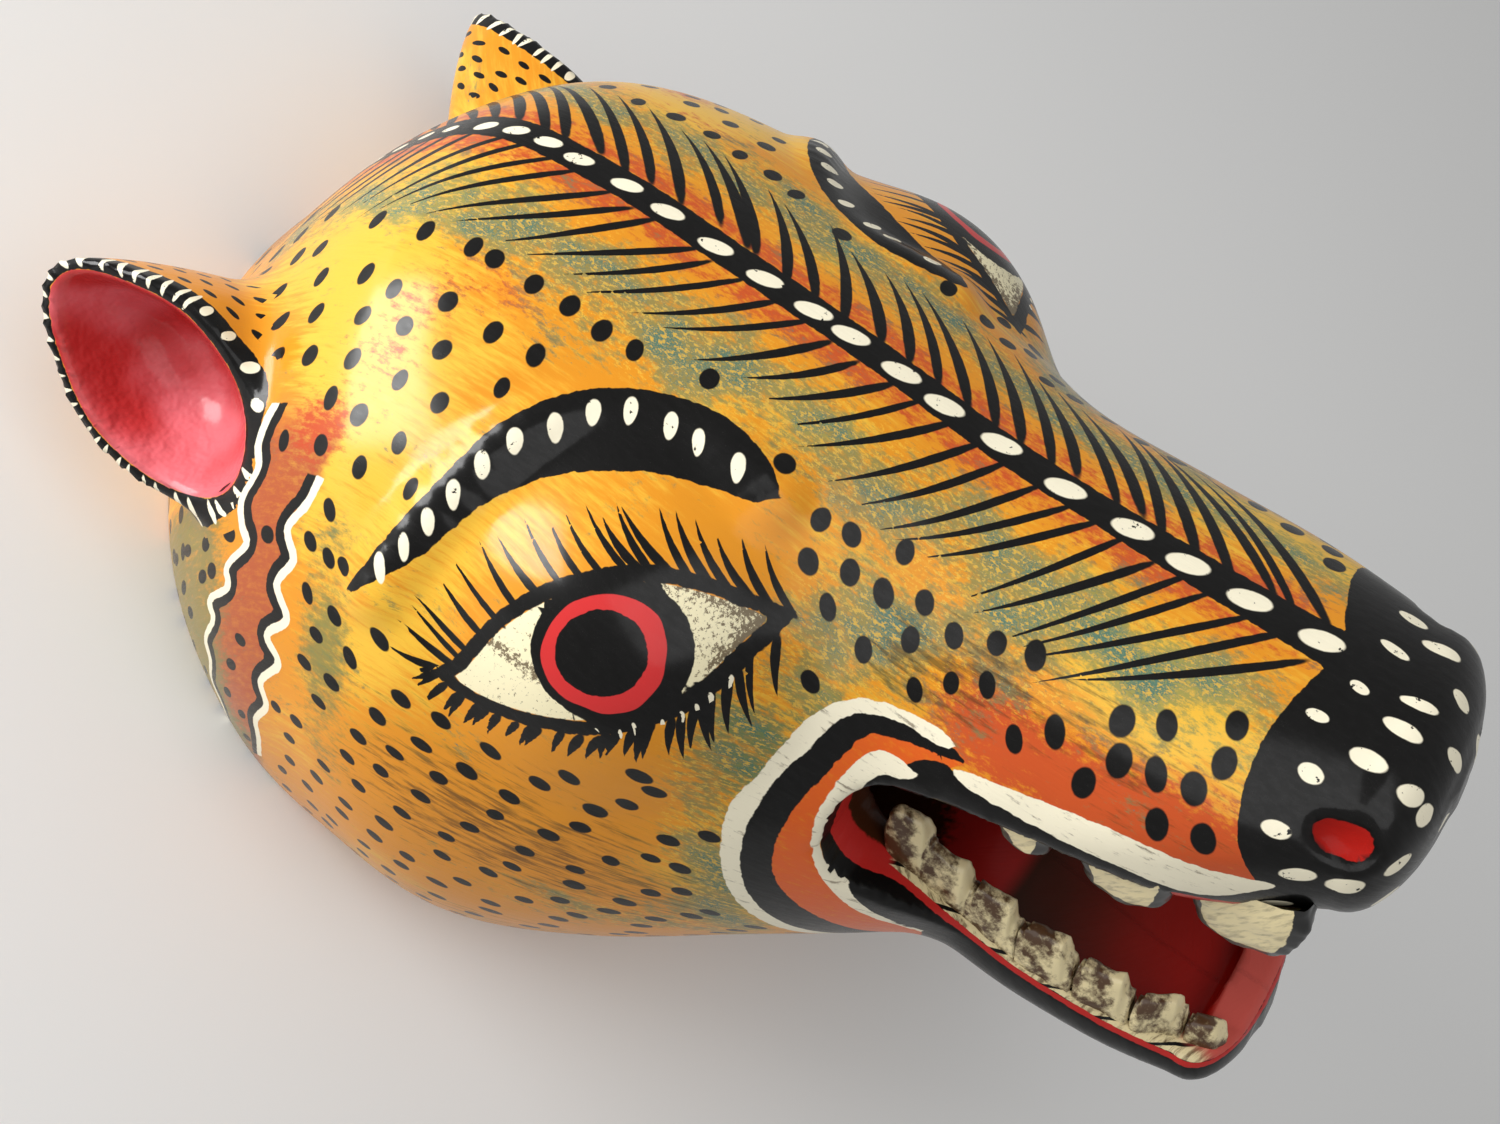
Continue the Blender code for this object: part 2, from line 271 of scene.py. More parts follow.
def ear_axes(side):
    """The middle of an ear's mouth, then its own axes: outwards, to the tip, and across."""
    drop = LEFT_EAR_DROP if side > 0 else 0
    facing = np.array([side * EAR_FACING[0], EAR_FACING[1], EAR_FACING[2]])
    facing = facing / np.linalg.norm(facing)
    middle = np.array([side * EAR_MIDDLE[0], EAR_MIDDLE[1] - drop, EAR_MIDDLE[2]])
    tipward = np.array([side * EAR_TIP[0], EAR_TIP[1] - drop, EAR_TIP[2]]) - middle
    tipward = tipward - facing * (tipward @ facing)
    tipward = tipward / np.linalg.norm(tipward)
    return middle, facing, tipward, np.cross(facing, tipward)


def leaf_distance(along, across, half_height, half_width):
    """How far points lie outside a leaf that narrows towards the ear's tip."""
    lean = along / np.maximum(np.hypot(along, across), 1e-6)
    narrow = 1 - 0.22 * np.maximum(lean, 0) ** 2
    share = np.hypot(along / half_height, across / (half_width * narrow))
    radius = np.hypot(along, across)
    return radius - radius / np.maximum(share, 1e-4)


def ear_parts(p, side):
    """Distances to the ear's outer form and to its cup."""
    middle, facing, tipward, across = ear_axes(side)
    root = np.array([side * EAR_ROOT[0], EAR_ROOT[1], EAR_ROOT[2]]) - middle
    local = (p - middle) @ np.stack([facing, tipward, across], axis=1)
    t = np.clip(1 - local[:, 0] / (root @ facing), 0, 1)
    swell = 0.68 + 0.32 * np.sin(t * math.pi / 2)
    along = local[:, 1] - (1 - t) * (root @ tipward)
    aside = local[:, 2] - (1 - t) * (root @ across)
    outer = leaf_distance(along, aside, EAR_HALF_HEIGHT * swell, EAR_HALF_WIDTH * swell)
    outer = np.maximum(outer * 0.85, local[:, 0])
    deep = np.clip(1 + local[:, 0] / EAR_DEPTH, 0.0005, 1)
    swell = 0.18 + 0.82 * np.sqrt(deep)
    height = (EAR_HALF_HEIGHT - EAR_RIM) * swell
    width = (EAR_HALF_WIDTH - EAR_RIM) * swell
    cup = leaf_distance(local[:, 1], local[:, 2], height, width)
    return outer, np.maximum(cup * 0.8, -EAR_DEPTH - local[:, 0])


def head_form(p, shape):
    """The distance to the whole carved block at each point of a grid of that shape."""

    def true_distance(d):
        steep = np.gradient(d.reshape(shape), GRID_STEP)
        slope = np.sqrt(sum(g**2 for g in steep)).ravel()
        return d / np.clip(slope, 0.6, 4)

    form = true_distance(skull(p) - face_lift(p))
    form = blended(form, true_distance(np.maximum(jaw(p), JAW_START - p[:, 2])), JAW_BLEND)
    form = carved(form, mouth_gap(p), CRISP_EDGE)
    form = carved(form, ellipsoid(p, PALATE), SOFT_EDGE)
    form = carved(form, true_distance(jaw(p, TROUGH_INSET, TROUGH_INSET)), CRISP_EDGE)
    form = carved(form, ellipsoid(p, THROAT), SOFT_EDGE)
    ears = {}
    for side in (-1, 1):
        near = np.where((p[:, 0] * side > 20) & (p[:, 1] > 5) & (p[:, 2] < 45))[0]
        outer, cup = ear_parts(p[near], side)
        form[near] = blended(form[near], outer, EAR_BLEND)
        ears[side] = near, cup
    form = carved(form, true_distance(np.maximum(skull(p, WALL), CAVITY_REAR - p[:, 2])), 3)
    for near, cup in ears.values():
        form[near] = carved(form[near], cup, CRISP_EDGE)
    form = carved(form, ellipsoid(mirrored(p), NOSTRIL), 2)
    floor = -to_world(p)[:, 2]
    return -blended(-form, -floor, 0.8)


def wrapped(field, step):
    """Wraps the zero surface of a gridded field in quads, one point in each cell it crosses."""
    corners = [(i, j, k) for i in (0, 1) for j in (0, 1) for k in (0, 1)]
    n = np.array(field.shape) - 1
    solid = field < 0
    count = sum(solid[i : i + n[0], j : j + n[1], k : k + n[2]].astype(np.int8) for i, j, k in corners)
    cell = np.argwhere((count > 0) & (count < 8))
    number = np.full(n, -1, np.int32)
    number[tuple(cell.T)] = np.arange(len(cell))
    total = np.zeros((len(cell), 3))
    crossings = np.zeros(len(cell))
    for axis in range(3):
        ahead = np.eye(3, dtype=int)[axis]
        for corner in corners:
            if corner[axis]:
                continue
            start = cell + corner
            a = field[tuple(start.T)]
            b = field[tuple((start + ahead).T)]
            crossed = (a < 0) != (b < 0)
            t = np.where(crossed, a / np.where(crossed, a - b, 1), 0)
            total[crossed] += (start + t[:, None] * ahead)[crossed]
            crossings += crossed
    points = total / crossings[:, None] * step
    quads = []
    for axis in range(3):
        u, v = np.eye(3, dtype=int)[(axis + 1) % 3], np.eye(3, dtype=int)[(axis + 2) % 3]
        ahead = np.eye(3, dtype=int)[axis]
        low = tuple(slice(0, s - 1) if a == axis else slice(1, s - 1) for a, s in enumerate(field.shape))
        high = tuple(slice(1, s) if a == axis else slice(1, s - 1) for a, s in enumerate(field.shape))
        edge = np.argwhere(solid[low] != solid[high]) + (1 - ahead)
        ring = [number[tuple((edge - s * u - t * v).T)] for s, t in ((1, 1), (0, 1), (0, 0), (1, 0))]
        quad = np.stack(ring, axis=1)
        leaving = solid[tuple(edge.T)]
        quads.append(np.where(leaving[:, None], quad, quad[:, ::-1]))
    return points, np.concatenate(quads)


def sampled(field, at):
    """A gridded field read between its grid points."""
    low = np.clip(at.astype(int), 0, np.array(field.shape) - 2)
    share = at - low
    total = np.zeros(len(at))
    for corner in np.ndindex(2, 2, 2):
        weight = np.prod(np.where(corner, share, 1 - share), axis=1)
        total += weight * field[tuple((low + corner).T)]
    return total


def settled(points, field, step):
    """The same points, moved onto the zero surface of the field."""
    half = 0.6 * step
    for _ in range(3):
        slope = np.stack(
            [
                (sampled(field, (points + e) / step) - sampled(field, (points - e) / step)) / (2 * half)
                for e in np.eye(3) * half
            ],
            axis=1,
        )
        steep = np.maximum((slope**2).sum(axis=1), 0.2)
        move = slope * (sampled(field, points / step) / steep)[:, None]
        points = points - np.clip(move, -0.4 * step, 0.4 * step)
    return points


def surface(name, points, faces):
    """A smooth-shaded mesh object of the faces and only the points that they use, from millimetres."""
    used, numbers = np.unique(faces, return_inverse=True)
    mesh = bpy.data.meshes.new(name)
    mesh.from_pydata((points[used] * MM).tolist(), [], numbers.reshape(faces.shape).tolist())
    mesh.shade_smooth()
    piece = bpy.data.objects.new(name, mesh)
    bpy.context.collection.objects.link(piece)
    return piece, used


lowest = np.array(cad_box[0]) / MM - GRID_MARGIN
highest = np.array(cad_box[1]) / MM + GRID_MARGIN
axes = [np.arange(a, b, GRID_STEP) for a, b in zip(lowest, highest)]
grid = np.stack(np.meshgrid(*axes, indexing="ij"), axis=-1).reshape(-1, 3)
shape = tuple(len(a) for a in axes)
field = head_form(to_head(grid), shape).reshape(shape)
points, quads = wrapped(field, GRID_STEP)
points = settled(points, field, GRID_STEP) + lowest

centres = points[quads].mean(axis=1)
at = to_head(centres)
inner = (np.abs(skull(at, WALL)) < 2.5) & (at[:, 2] < CAVITY_FRONT + 2)
for cut in (ellipsoid(at, PALATE), ellipsoid(at, THROAT), jaw(at, TROUGH_INSET, TROUGH_INSET)):
    inner &= cut > CUT_REACH
for hand in (-1, 1):
    inner &= np.abs(ear_parts(at, hand)[1]) > CUT_REACH
bare = inner | (centres[:, 2] < 0.5)
head, head_points = surface("head", points, quads[~bare])
hollow, _ = surface("hollow", points, quads[bare])
for piece in (head, hollow):
    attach(piece, "root")
    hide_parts("mask")

# The painted skin.
# Oil colours brushed straight on the sanded wood: a mottled ground first, then the bands, eyes and
# spots in black, red and white, and a thick clear lacquer over everything.

SHEET_STEP = 2.0
SHEET_STATIONS = np.arange(STATION[0], STATION[-1] + NOSE_ROUND, SHEET_STEP)
SHEET_TURNS = np.linspace(0, math.pi, 121)
FAR = 6.0

BROW_TOP = ((53, 133), (61, 116), (68, 100), (73, 88), (77, 77), (85, 63), (96, 51), (111, 43), (124, 41))
BROW_TOP += ((135, 44), (141, 49))
BROW_FOOT = ((136, 54), (124, 58), (113, 63), (104, 69), (95, 76), (87, 85), (80, 96), (72, 112), (63, 123))
UPPER_LID = ((80, 136), (86, 127), (94, 111), (104, 97), (115, 86), (124, 79), (134, 74), (143, 71))
UPPER_LID += ((153, 68),)
LOWER_LID = ((151, 76), (145, 92), (139, 102), (131, 111), (121, 120), (107, 129), (94, 135), (84, 137))
LID_LINE = 3.1
EYE_CENTRE = (121, 100.5)
EYE_RIGHT = (0.867, -0.6)
EYE_DOWN = (0.217, 0.761)
PUPIL_RADIUS = 11.3
IRIS_RADIUS = 15.3
IRIS_LINE_RADIUS = 19.4
IRIS_SQUASH = 0.93
FAR_EYE_RISE = 7.5

OUTER_BAND_BACK = ((194, 72), (188, 71), (180, 72), (174, 74), (168, 78), (162, 86), (157, 98), (153, 110))
OUTER_BAND_BACK += ((148, 122), (146, 134), (145, 148), (146, 162), (150, 177), (157, 190), (172, 204))
OUTER_BAND_BACK += ((192, 212),)
OUTER_BAND_FRONT = ((193, 207), (173, 198), (161, 186), (154, 174), (150, 161), (149, 148), (150, 134))
OUTER_BAND_FRONT += ((152, 124), (157, 107), (162, 96), (167, 84), (173, 78), (181, 75), (188, 75))
OUTER_BAND_FRONT += ((193, 74),)
BLACK_BAND_FRONT = ((196, 75), (186, 77), (177, 80), (172, 84), (165, 101), (160, 114), (156, 130))
BLACK_BAND_FRONT += ((155, 144), (158, 155), (163, 164), (170, 174), (179, 184), (196, 194))
INNER_BAND_BACK = ((187, 85), (181, 83.5), (176, 85.5), (172, 92), (168, 103), (165, 116), (164.5, 130))
INNER_BAND_BACK += ((168, 142), (173, 151), (183, 159), (190, 160))
INNER_BAND_FRONT = ((188, 157), (183, 156), (177, 150), (172, 140), (169, 128), (170, 113), (173, 101))
INNER_BAND_FRONT += ((178, 91), (184, 88), (188, 84))
LIP_WHITE = ((194, 23), (207, 22), (220, 20), (232, 18), (245, 14.5), (255, 11), (263, 9), (270, 7), (265, 3))
LIP_WHITE += ((258, -0.5), (251, 0), (243, 3.5), (234, 7.5), (221, 12), (211, 15.5), (200, 19))
LIP_BLACK = ((180, 19), (189, 24), (199, 21), (211, 18), (221, 15), (234, 11), (244, 8), (251, 6), (259, 5))
LIP_BLACK += ((265, 6), (272, 30))
NOSE_EDGE = ((0, 265), (17, 260), (31, 257.5), (45, 257.5), (56, 260), (66, 266), (90, 272))
REAR_LINE = ((15, 92), (13, 103), (15, 110), (11, 118), (13, 125), (16, 130), (8, 136), (9, 142), (-1, 145))
REAR_LINE += ((1, 151), (-6, 157), (-5, 164), (-10, 172), (-8, 182), (-14, 192))
FRONT_LINE = ((38, 108), (36, 116), (31, 124), (35, 131), (30, 139), (35, 147), (27, 154), (32, 161))
FRONT_LINE += ((23, 169), (24, 177), (16, 184), (14, 192), (8, 202))
SPINE_HALF_WIDTH = 5.2
BAND_OVERLAP = 0.8
CORNER_END = ((200, 88), (212, 157))
LIP_BLACK_END = ((290, -40), (170, -40))
LIP_BLACK_START = 183
LIP_RED_START = 248
LIP_RED_HEIGHT = 4.6
EAR_BAND_INNER = 3.4
EAR_BAND_OUTER = 5.2
SKIN_REACH = 2.2
IRIS_LINE_SHIFT = (1.4, -0.4)

TEAL_GLOWS = ((168, 61, 18, 12, 0.9), (160, 82, 10, 13, 0.9), (143, 158, 10, 42, 1.0))
TEAL_GLOWS += ((148, 104, 10, 18, 0.6), (118, 196, 30, 14, 0.5), (205, 48, 30, 14, 0.45))
TEAL_GLOWS += ((100, 41, 25, 10, 0.3),)
FIRE_GLOWS = ((228, 68, 38, 13, 1.0), (255, 62, 22, 14, 0.8), (44, 66, 12, 14, 0.6), (32, 96, 12, 12, 0.8))
FIRE_GLOWS += ((60, 45, 18, 9, 0.5), (150, 36, 20, 8, 0.35), (200, 60, 22, 14, 0.5))
OLIVE_GLOWS = ((48, 150, 11, 40, 0.8), (165, 90, 16, 18, 0.5), (196, 60, 24, 10, 0.6), (150, 110, 8, 24, 0.5))
# Patches of brown antiquing, and painted shade over the lower cheeks.
BROWN_AND_SHADE_GLOWS = ((120, 165, 50, 34, 0.8), (95, 178, 40, 24, 0.5), (178, 66, 16, 12, 0.8))
BROWN_AND_SHADE_GLOWS += ((85, 60, 20, 14, 0.25), (62, 170, 30, 40, 0.4), (238, 60, 30, 18, 0.75))
BROWN_AND_SHADE_GLOWS += ((212, 46, 40, 12, 0.6), (190, 56, 20, 14, 0.7))
# Painted highlight: soft patches where the yellow ground is painted lighter, on the crown before the ears, on
# the cheek and on the snout.
HIGHLIGHT_GLOWS = ((20, 70, 70, 34, 1.0), (62, 140, 26, 18, 0.8), (10, 105, 40, 24, 0.7), (150, 50, 12, 8, 0.4))
HIGHLIGHT_GLOWS += ((238, 38, 32, 14, 1.0),)


def section_reach(z, turn):
    """How far the plain skull reaches from its middle line, at an angle from the crown."""
    t = np.clip((z - STATION[-1]) / NOSE_ROUND, 0, 0.98)
    shrink = np.sqrt(1 - t**2.2)
    middle = curve_through(z, STATION, MIDDLE)
    up = np.cos(turn)
    above = curve_through(z, STATION, TOP) - middle
    below = middle - curve_through(z, STATION, BOTTOM)
    height = np.where(up > 0, above, below)
    power = np.where(up > 0, CROWN_FULLNESS, JOWL_FULLNESS)
    width = curve_through(z, STATION, HALF_WIDTH) * shrink
    share = (np.sin(turn) / width) ** power + (np.abs(up) / (height * shrink)) ** power
    return share ** (-1 / power), middle


def skin_sheet():
    """For each station, the length along the skin from the crown line down to each angle."""
    z, turn = np.meshgrid(SHEET_STATIONS, SHEET_TURNS, indexing="ij")
    reach, _ = section_reach(z.ravel(), turn.ravel())
    reach = reach.reshape(z.shape)
    across, up = reach * np.sin(turn), reach * np.cos(turn)
    steps = np.hypot(np.diff(across, axis=1), np.diff(up, axis=1))
    return np.concatenate([np.zeros((len(z), 1)), np.cumsum(steps, axis=1)], axis=1)


SHEET = skin_sheet()


def unrolled(p):
    """Where points lie on the skin laid flat: the station, and the way down from the crown line."""
    z = np.clip(p[:, 2], SHEET_STATIONS[0], SHEET_STATIONS[-1])
    turn = np.arctan2(np.abs(p[:, 0]), p[:, 1] - curve_through(z, STATION, MIDDLE))
    place = np.stack([(z - SHEET_STATIONS[0]) / SHEET_STEP, turn / SHEET_TURNS[1]], axis=1)
    low = np.clip(place.astype(int), 0, np.array(SHEET.shape) - 2)
    share = place - low
    total = np.zeros(len(p))
    for corner in np.ndindex(2, 2):
        weight = np.prod(np.where(corner, share, 1 - share), axis=1)
        total += weight * SHEET[tuple((low + corner).T)]
    return np.stack([p[:, 2], total], axis=1)


def smooth_line(points, closed=False, spans=5):
    """The given points joined by a smooth curve."""
    p = np.array(points, float)
    if closed:
        p = np.concatenate([p[-1:], p, p[:2]])
    else:
        p = np.concatenate([[2 * p[0] - p[1]], p, [2 * p[-1] - p[-2]]])
    t = (np.arange(spans) / spans)[None, :, None]
    a, b, c, d = (p[i : len(p) - 3 + i, None] for i in range(4))
    curve = b + (c - a) * t / 2 + (2 * a - 5 * b + 4 * c - d) * t**2 / 2 + (3 * b - a - 3 * c + d) * t**3 / 2
    curve = curve.reshape(-1, 2)
    return curve if closed else np.concatenate([curve, p[-2:-1]])


def from_line(at, line):
    """The signed distance to an open line, positive on the right of its way."""
    nearest = np.full(len(at), np.inf)
    signed = np.zeros(len(at))
    for a, b in zip(line[:-1], line[1:]):
        way = b - a
        share = np.clip(((at - a) @ way) / (way @ way), 0, 1)
        off = at - a - share[:, None] * way
        gap = np.linalg.norm(off, axis=1)
        right = off[:, 0] * way[1] - off[:, 1] * way[0] > 0
        signed = np.where(gap < nearest, np.where(right, gap, -gap), signed)
        nearest = np.minimum(gap, nearest)
    return signed


def inside(at, outline):
    """How deep points lie inside a closed outline, at most FAR either way."""
    depth = np.full(len(at), -FAR)
    near = ((at > outline.min(axis=0) - FAR) & (at < outline.max(axis=0) + FAR)).all(axis=1)
    q = at[near]
    gap = np.full(len(q), FAR)
    within = np.zeros(len(q), bool)
    for a, b in zip(outline, np.roll(outline, -1, axis=0)):
        way = b - a
        share = np.clip(((q - a) @ way) / (way @ way), 0, 1)
        gap = np.minimum(gap, np.linalg.norm(q - a - share[:, None] * way, axis=1))
        straddles = (a[1] > q[:, 1]) != (b[1] > q[:, 1])
        slant = way[0] / way[1] if way[1] else 0
        within ^= straddles & (q[:, 0] < a[0] + (q[:, 1] - a[1]) * slant)
    depth[near] = np.where(within, gap, -gap)
    return depth


skin = to_head(points[head_points])
side = np.where(skin[:, 0] > 0, 1, -1)
flat = unrolled(skin)
side_view = skin[:, [2, 1]]
station, down = flat.T
lip_height = curve_through(station, LIP_STATION, LIP_HEIGHT)
gum_height = curve_through(station, GUM_STATION, GUM_HEIGHT)
over_lip = skin[:, 1] - lip_height
uncut = blended(skull(skin) - face_lift(skin), np.maximum(jaw(skin), JAW_START - station), JAW_BLEND)
outside = np.abs(uncut) < SKIN_REACH

ear_profile = np.full(len(skin), 50.0)
ear_turn = np.zeros(len(skin))
for ear_side in (-1, 1):
    near = np.where((side == ear_side) & (skin[:, 2] < 45) & (skin[:, 1] > 5))[0]
    middle, facing, tipward, across = ear_axes(ear_side)
    local = (skin[near] - middle) @ np.stack([facing, tipward, across], axis=1)
    leaf = leaf_distance(local[:, 1], local[:, 2], EAR_HALF_HEIGHT, EAR_HALF_WIDTH)
    cup = np.abs(ear_parts(skin[near], ear_side)[1]) < 3
    cup &= (leaf < -EAR_RIM + 1) & (local[:, 0] < 0.5)
    wall = np.hypot(np.maximum(leaf, 0), local[:, 0])
    wall = np.where(cup, local[:, 0] - EAR_RIM, wall)
    on_rim = (local[:, 0] > -1.2) & (leaf > -EAR_RIM) & (leaf < 1)
    ear_profile[near] = np.where(on_rim, np.clip(leaf, -EAR_RIM, 0.5), wall)
    ear_turn[near] = np.arctan2(local[:, 2] * ear_side, local[:, 1])
    outside[near] |= leaf < 4
inner_mouth = ~outside & (station > 120)
on_jaw = outside & (skin[:, 1] < gum_height + 1.5) & (station > 170) & (np.abs(jaw(skin)) < SKIN_REACH)
on_head = outside & ~on_jaw

lid = np.concatenate([smooth_line(UPPER_LID), smooth_line(LOWER_LID)])
eye_flat = flat + np.where(side > 0, FAR_EYE_RISE, 0)[:, None] * (0, 1)
eye = inside(eye_flat, lid)
to_eye = np.linalg.inv(np.array([EYE_RIGHT, EYE_DOWN]).T)
in_eye = (eye_flat - EYE_CENTRE) @ to_eye.T / [1, IRIS_SQUASH]
from_pupil = np.minimum(np.linalg.norm(in_eye, axis=1), 40)
from_iris_line = np.linalg.norm(in_eye - IRIS_LINE_SHIFT, axis=1)

nose_depth = np.minimum(station - curve_through(down, *np.transpose(NOSE_EDGE)), FAR)


def deepest(*depths):
    return np.clip(np.max(depths, axis=0), -FAR, FAR)


def band(one_edge, other_edge):
    """How deep points lie in the strip between two edges that run opposite ways."""
    return inside(flat, np.concatenate([smooth_line(one_edge), smooth_line(other_edge)]))


corner = np.concatenate([smooth_line(INNER_BAND_FRONT), CORNER_END])
lip_side = np.concatenate([smooth_line(LIP_BLACK), LIP_BLACK_END])
black = deepest(
    SPINE_HALF_WIDTH + 1.5 * np.clip((station - 200) / 60, 0, 1) - down,
    band(BROW_TOP, BROW_FOOT),
    np.minimum(eye, LID_LINE - eye),
    np.minimum(eye, IRIS_LINE_RADIUS - from_iris_line),
    band(OUTER_BAND_FRONT, BLACK_BAND_FRONT) + BAND_OVERLAP,
    inside(flat, corner) + 2 * BAND_OVERLAP,
    np.minimum(inside(side_view, lip_side), station - LIP_BLACK_START),
    nose_depth,
)
black = np.where(on_jaw, np.clip(np.maximum(black, station - 180), -FAR, FAR), black)
black = np.maximum(black, np.minimum(ear_profile + EAR_BAND_INNER, EAR_BAND_OUTER - ear_profile))
black = np.where(inner_mouth, FAR, black)
white = deepest(
    band(OUTER_BAND_BACK, OUTER_BAND_FRONT),
    band(INNER_BAND_BACK, INNER_BAND_FRONT),
    inside(side_view, smooth_line(LIP_WHITE, closed=True)),
)
white = np.where(on_head, white, -FAR)
lip_edge = np.minimum(LIP_RED_HEIGHT - over_lip, station - LIP_RED_START)
red = np.where(on_head, lip_edge, -FAR)
orange = band(BLACK_BAND_FRONT, INNER_BAND_BACK[::-1])
orange = np.where(on_head, orange, -FAR)
sclera = np.where(on_head, eye - LID_LINE, -FAR)


def glow(*spots):
    """A soft weight that peaks at each spot given by its station, way down, two reaches and strength."""
    total = np.zeros(len(flat))
    for z, s, z_reach, s_reach, strength in spots:
        total += strength * np.exp(-(((station - z) / z_reach) ** 2) - ((down - s) / s_reach) ** 2)
    return total


comb_zone = np.clip((station + 60) / 40, 0, 1) * np.clip((268 - station) / 20, 0, 1)
teal = comb_zone * np.exp(-(((down - 29) / 13) ** 2)) * 0.85 + glow(*TEAL_GLOWS)
fire = comb_zone * np.exp(-(((down - 8) / 7) ** 2)) * 0.7 + glow(*FIRE_GLOWS)
rear_line = from_line(flat, smooth_line(REAR_LINE))
front_line = from_line(flat, smooth_line(FRONT_LINE))
rust = np.clip(0.5 + rear_line / 3, 0, 1) * np.clip(0.5 - front_line / 3, 0, 1)
rust *= np.clip((down - 88) / 14, 0, 1)
olive = np.clip((18 - station) / 22, 0, 1) * np.clip((down - 100) / 20, 0, 1) * 0.9 + glow(*OLIVE_GLOWS)
# Brown antiquing, and painted shade that grows towards the underside of the head.
brown_and_shade = glow(*BROWN_AND_SHADE_GLOWS) + np.clip((down - 205) / 25, 0, 1) * 0.8
# Painted highlight on the yellow ground, kept off the ears.
painted_highlight = np.clip((ear_profile - 10) / 25, 0, 1) * glow(*HIGHLIGHT_GLOWS)

mouth = np.where(inner_mouth, 1.0, 0.0)
mouth_wall = np.clip(-uncut, 0, 30)
jaw_depth = -jaw(skin)
under_gum = gum_height - skin[:, 1]
jaw_profile = np.where((jaw_depth > 8) & (under_gum > 1.5), -20, under_gum - jaw_depth)
jaw_profile = np.where(under_gum > -1.5, np.clip(jaw_profile, -20, 20), 30)


def attribute(piece, name, values, domain="POINT"):
    layer = piece.data.attributes.new(name, "FLOAT_VECTOR", domain)
    layer.data.foreach_set("vector", np.asarray(values, np.float32).ravel())


def together(*columns):
    return np.stack(columns, axis=1)


attribute(head, "brush", together(black, white, red))
attribute(head, "eye", together(sclera, from_pupil, orange))
attribute(head, "lines", together(rear_line, front_line, ear_profile))
attribute(head, "ground", together(teal, fire, brown_and_shade))
attribute(head, "patches", together(olive, rust, mouth))
attribute(head, "flat", together(station, down * side, mouth_wall))
attribute(head, "jaw", together(jaw_profile, painted_highlight, skin[:, 0]))
attribute(head, "in_eye", together(*in_eye.T, np.zeros(len(skin))))


# Spots, strokes, lashes and drops.
# Each is one touch of a loaded brush: oval spots, strokes that thin to a point, and white drops
# laid on the black last of all.

SPOTS_ON_CROWN = ((17, 40), (35, 41), (48, 40), (56, 40), (67, 41), (77, 40), (86, 41), (95, 40), (112, 35))
SPOTS_ON_CROWN += ((156, 45), (168, 41), (177, 47), (185, 50), (195, 46), (204, 44), (-25, 22), (-8, 31))
SPOTS_BEFORE_EYE = ((149, 47), (151, 57), (159, 53), (158, 63), (168, 52), (168, 66), (176, 57), (181, 67))
SPOTS_ON_SNOUT = ((228, 46), (237, 41), (251, 33), (252, 42), (230, 54), (239, 53), (224, 63), (253, 60))
SPOTS_ON_SNOUT += ((242, 63), (214, 56), (206, 63), (196, 56), (188, 60), (248, 51))
COMB_STEP = 8.1
COMB_REAR = -64
COMB_FRONT = 268
COMB_STATION = (-64, 0, 60, 100, 143, 190, 230, 268)
COMB_SWEEP = (-22, -28, -34, -28, -22, -27, -34, -50)
COMB_LENGTH = (20, 30, 36, 35, 31, 39, 43, 47)
SPINE_DROPS = (24, 34, 44, 54, 68, 80, 94, 108, 122, 132, 146, 159, 174, 192, 210, 225, 242, 259)
BROW_DROPS = ((64, 120), (68, 112), (71, 104), (75, 95), (78, 85), (83, 76), (89, 68), (94, 60), (102, 54))
BROW_DROPS += ((111, 51), (118, 50), (129, 50))
LASH_SHARE = (0, 0.12, 0.5, 0.75, 1)
LASH_LEAN = (32, 44, 49, 56, 66)
LASH_LENGTH = (15.5, 17.0, 18.0, 18.0, 15.0)
UPPER_LASHES = 21
LOWER_LASHES = 26
LOWER_LEAN = (4, -2, -34, -44, -50)
LOWER_LENGTH = (12.5, 13.5, 11.5, 10.0, 9.0)
NOSE_CENTRE = (0, 12, 240)
NOSE_DROPS = ((10, 36, 274), (26, 32, 274), (19, 32, 283), (-7, 37, 271), (-20, 37, 266), (-3, 34, 284))
NOSE_DROPS += ((-12, 34, 284), (-23, 32, 279), (-32, 31, 269), (7, 30, 292), (-24, 27, 290), (-7, 25, 296))
NOSE_DROPS += ((-24, 22, 295), (-45, 23, 267), (-12, 9, 298), (-46, 12, 274), (-42, 10, 284))
NOSE_DROPS += ((-33, 13, 293), (-44, -3, 270), (8, 16, 299), (4, 2, 298), (34, 22, 286), (22, 12, 296))
NOSE_DROPS += ((44, 16, 272), (36, 6, 289), (30, -4, 290), (-30, -3, 292), (46, 2, 276), (14, -6, 296))
NOSE_DROPS += ((-14, -5, 296),)
NOSE_REACH = 52
EAR_REACH = 30
RIM_TICK_STEP = 0.155
DASH_STEP = 0.3
CORNER_LASHES = (150, 168, 186, 206)
EAR_DASH_ROWS = (9.5, 15, 20.5, 26)
# Painted highlight: where along the lower lid the short white glints are painted.
LID_GLINT_SHARES = (0.13, 0.19, 0.24, 0.3, 0.37, 0.43, 0.5, 0.56)
SPOT_LEAN_S = (90, 130, 170)
SPOT_LEAN = (112, 66, 46)
SPOT_HALF_LENGTH = 3.2
SPOT_HALF_WIDTH = 2.25
SPOT_GAP = 9.5
ROW_CHANGE = 128
SPOT_ROWS = (*np.arange(22, ROW_CHANGE, 11.5), *np.arange(ROW_CHANGE, 252, 9.4))
UPPER_SPOT_STEP = 13.5
LOWER_SPOT_STEP = 12.5
COMB_HALF_WIDTH = 1.55
UPPER_LASH_HALF_WIDTH = 1.4
LOWER_LASH_HALF_WIDTH = 1.25

chance = np.random.default_rng(7)
faces = head.data.polygons
corner_points = np.empty(len(faces) * 4, np.int32)
head.data.loops.foreach_get("vertex_index", corner_points)
corner_points = corner_points.reshape(-1, 4)
BLANK = (9.0, 9.0, 0.0)
touches = {name: np.tile(np.array(BLANK), (len(faces), 4, 1)) for name in ("dark", "dark_too", "light")}
nearness = {name: np.full(len(faces), 9.0) for name in touches}


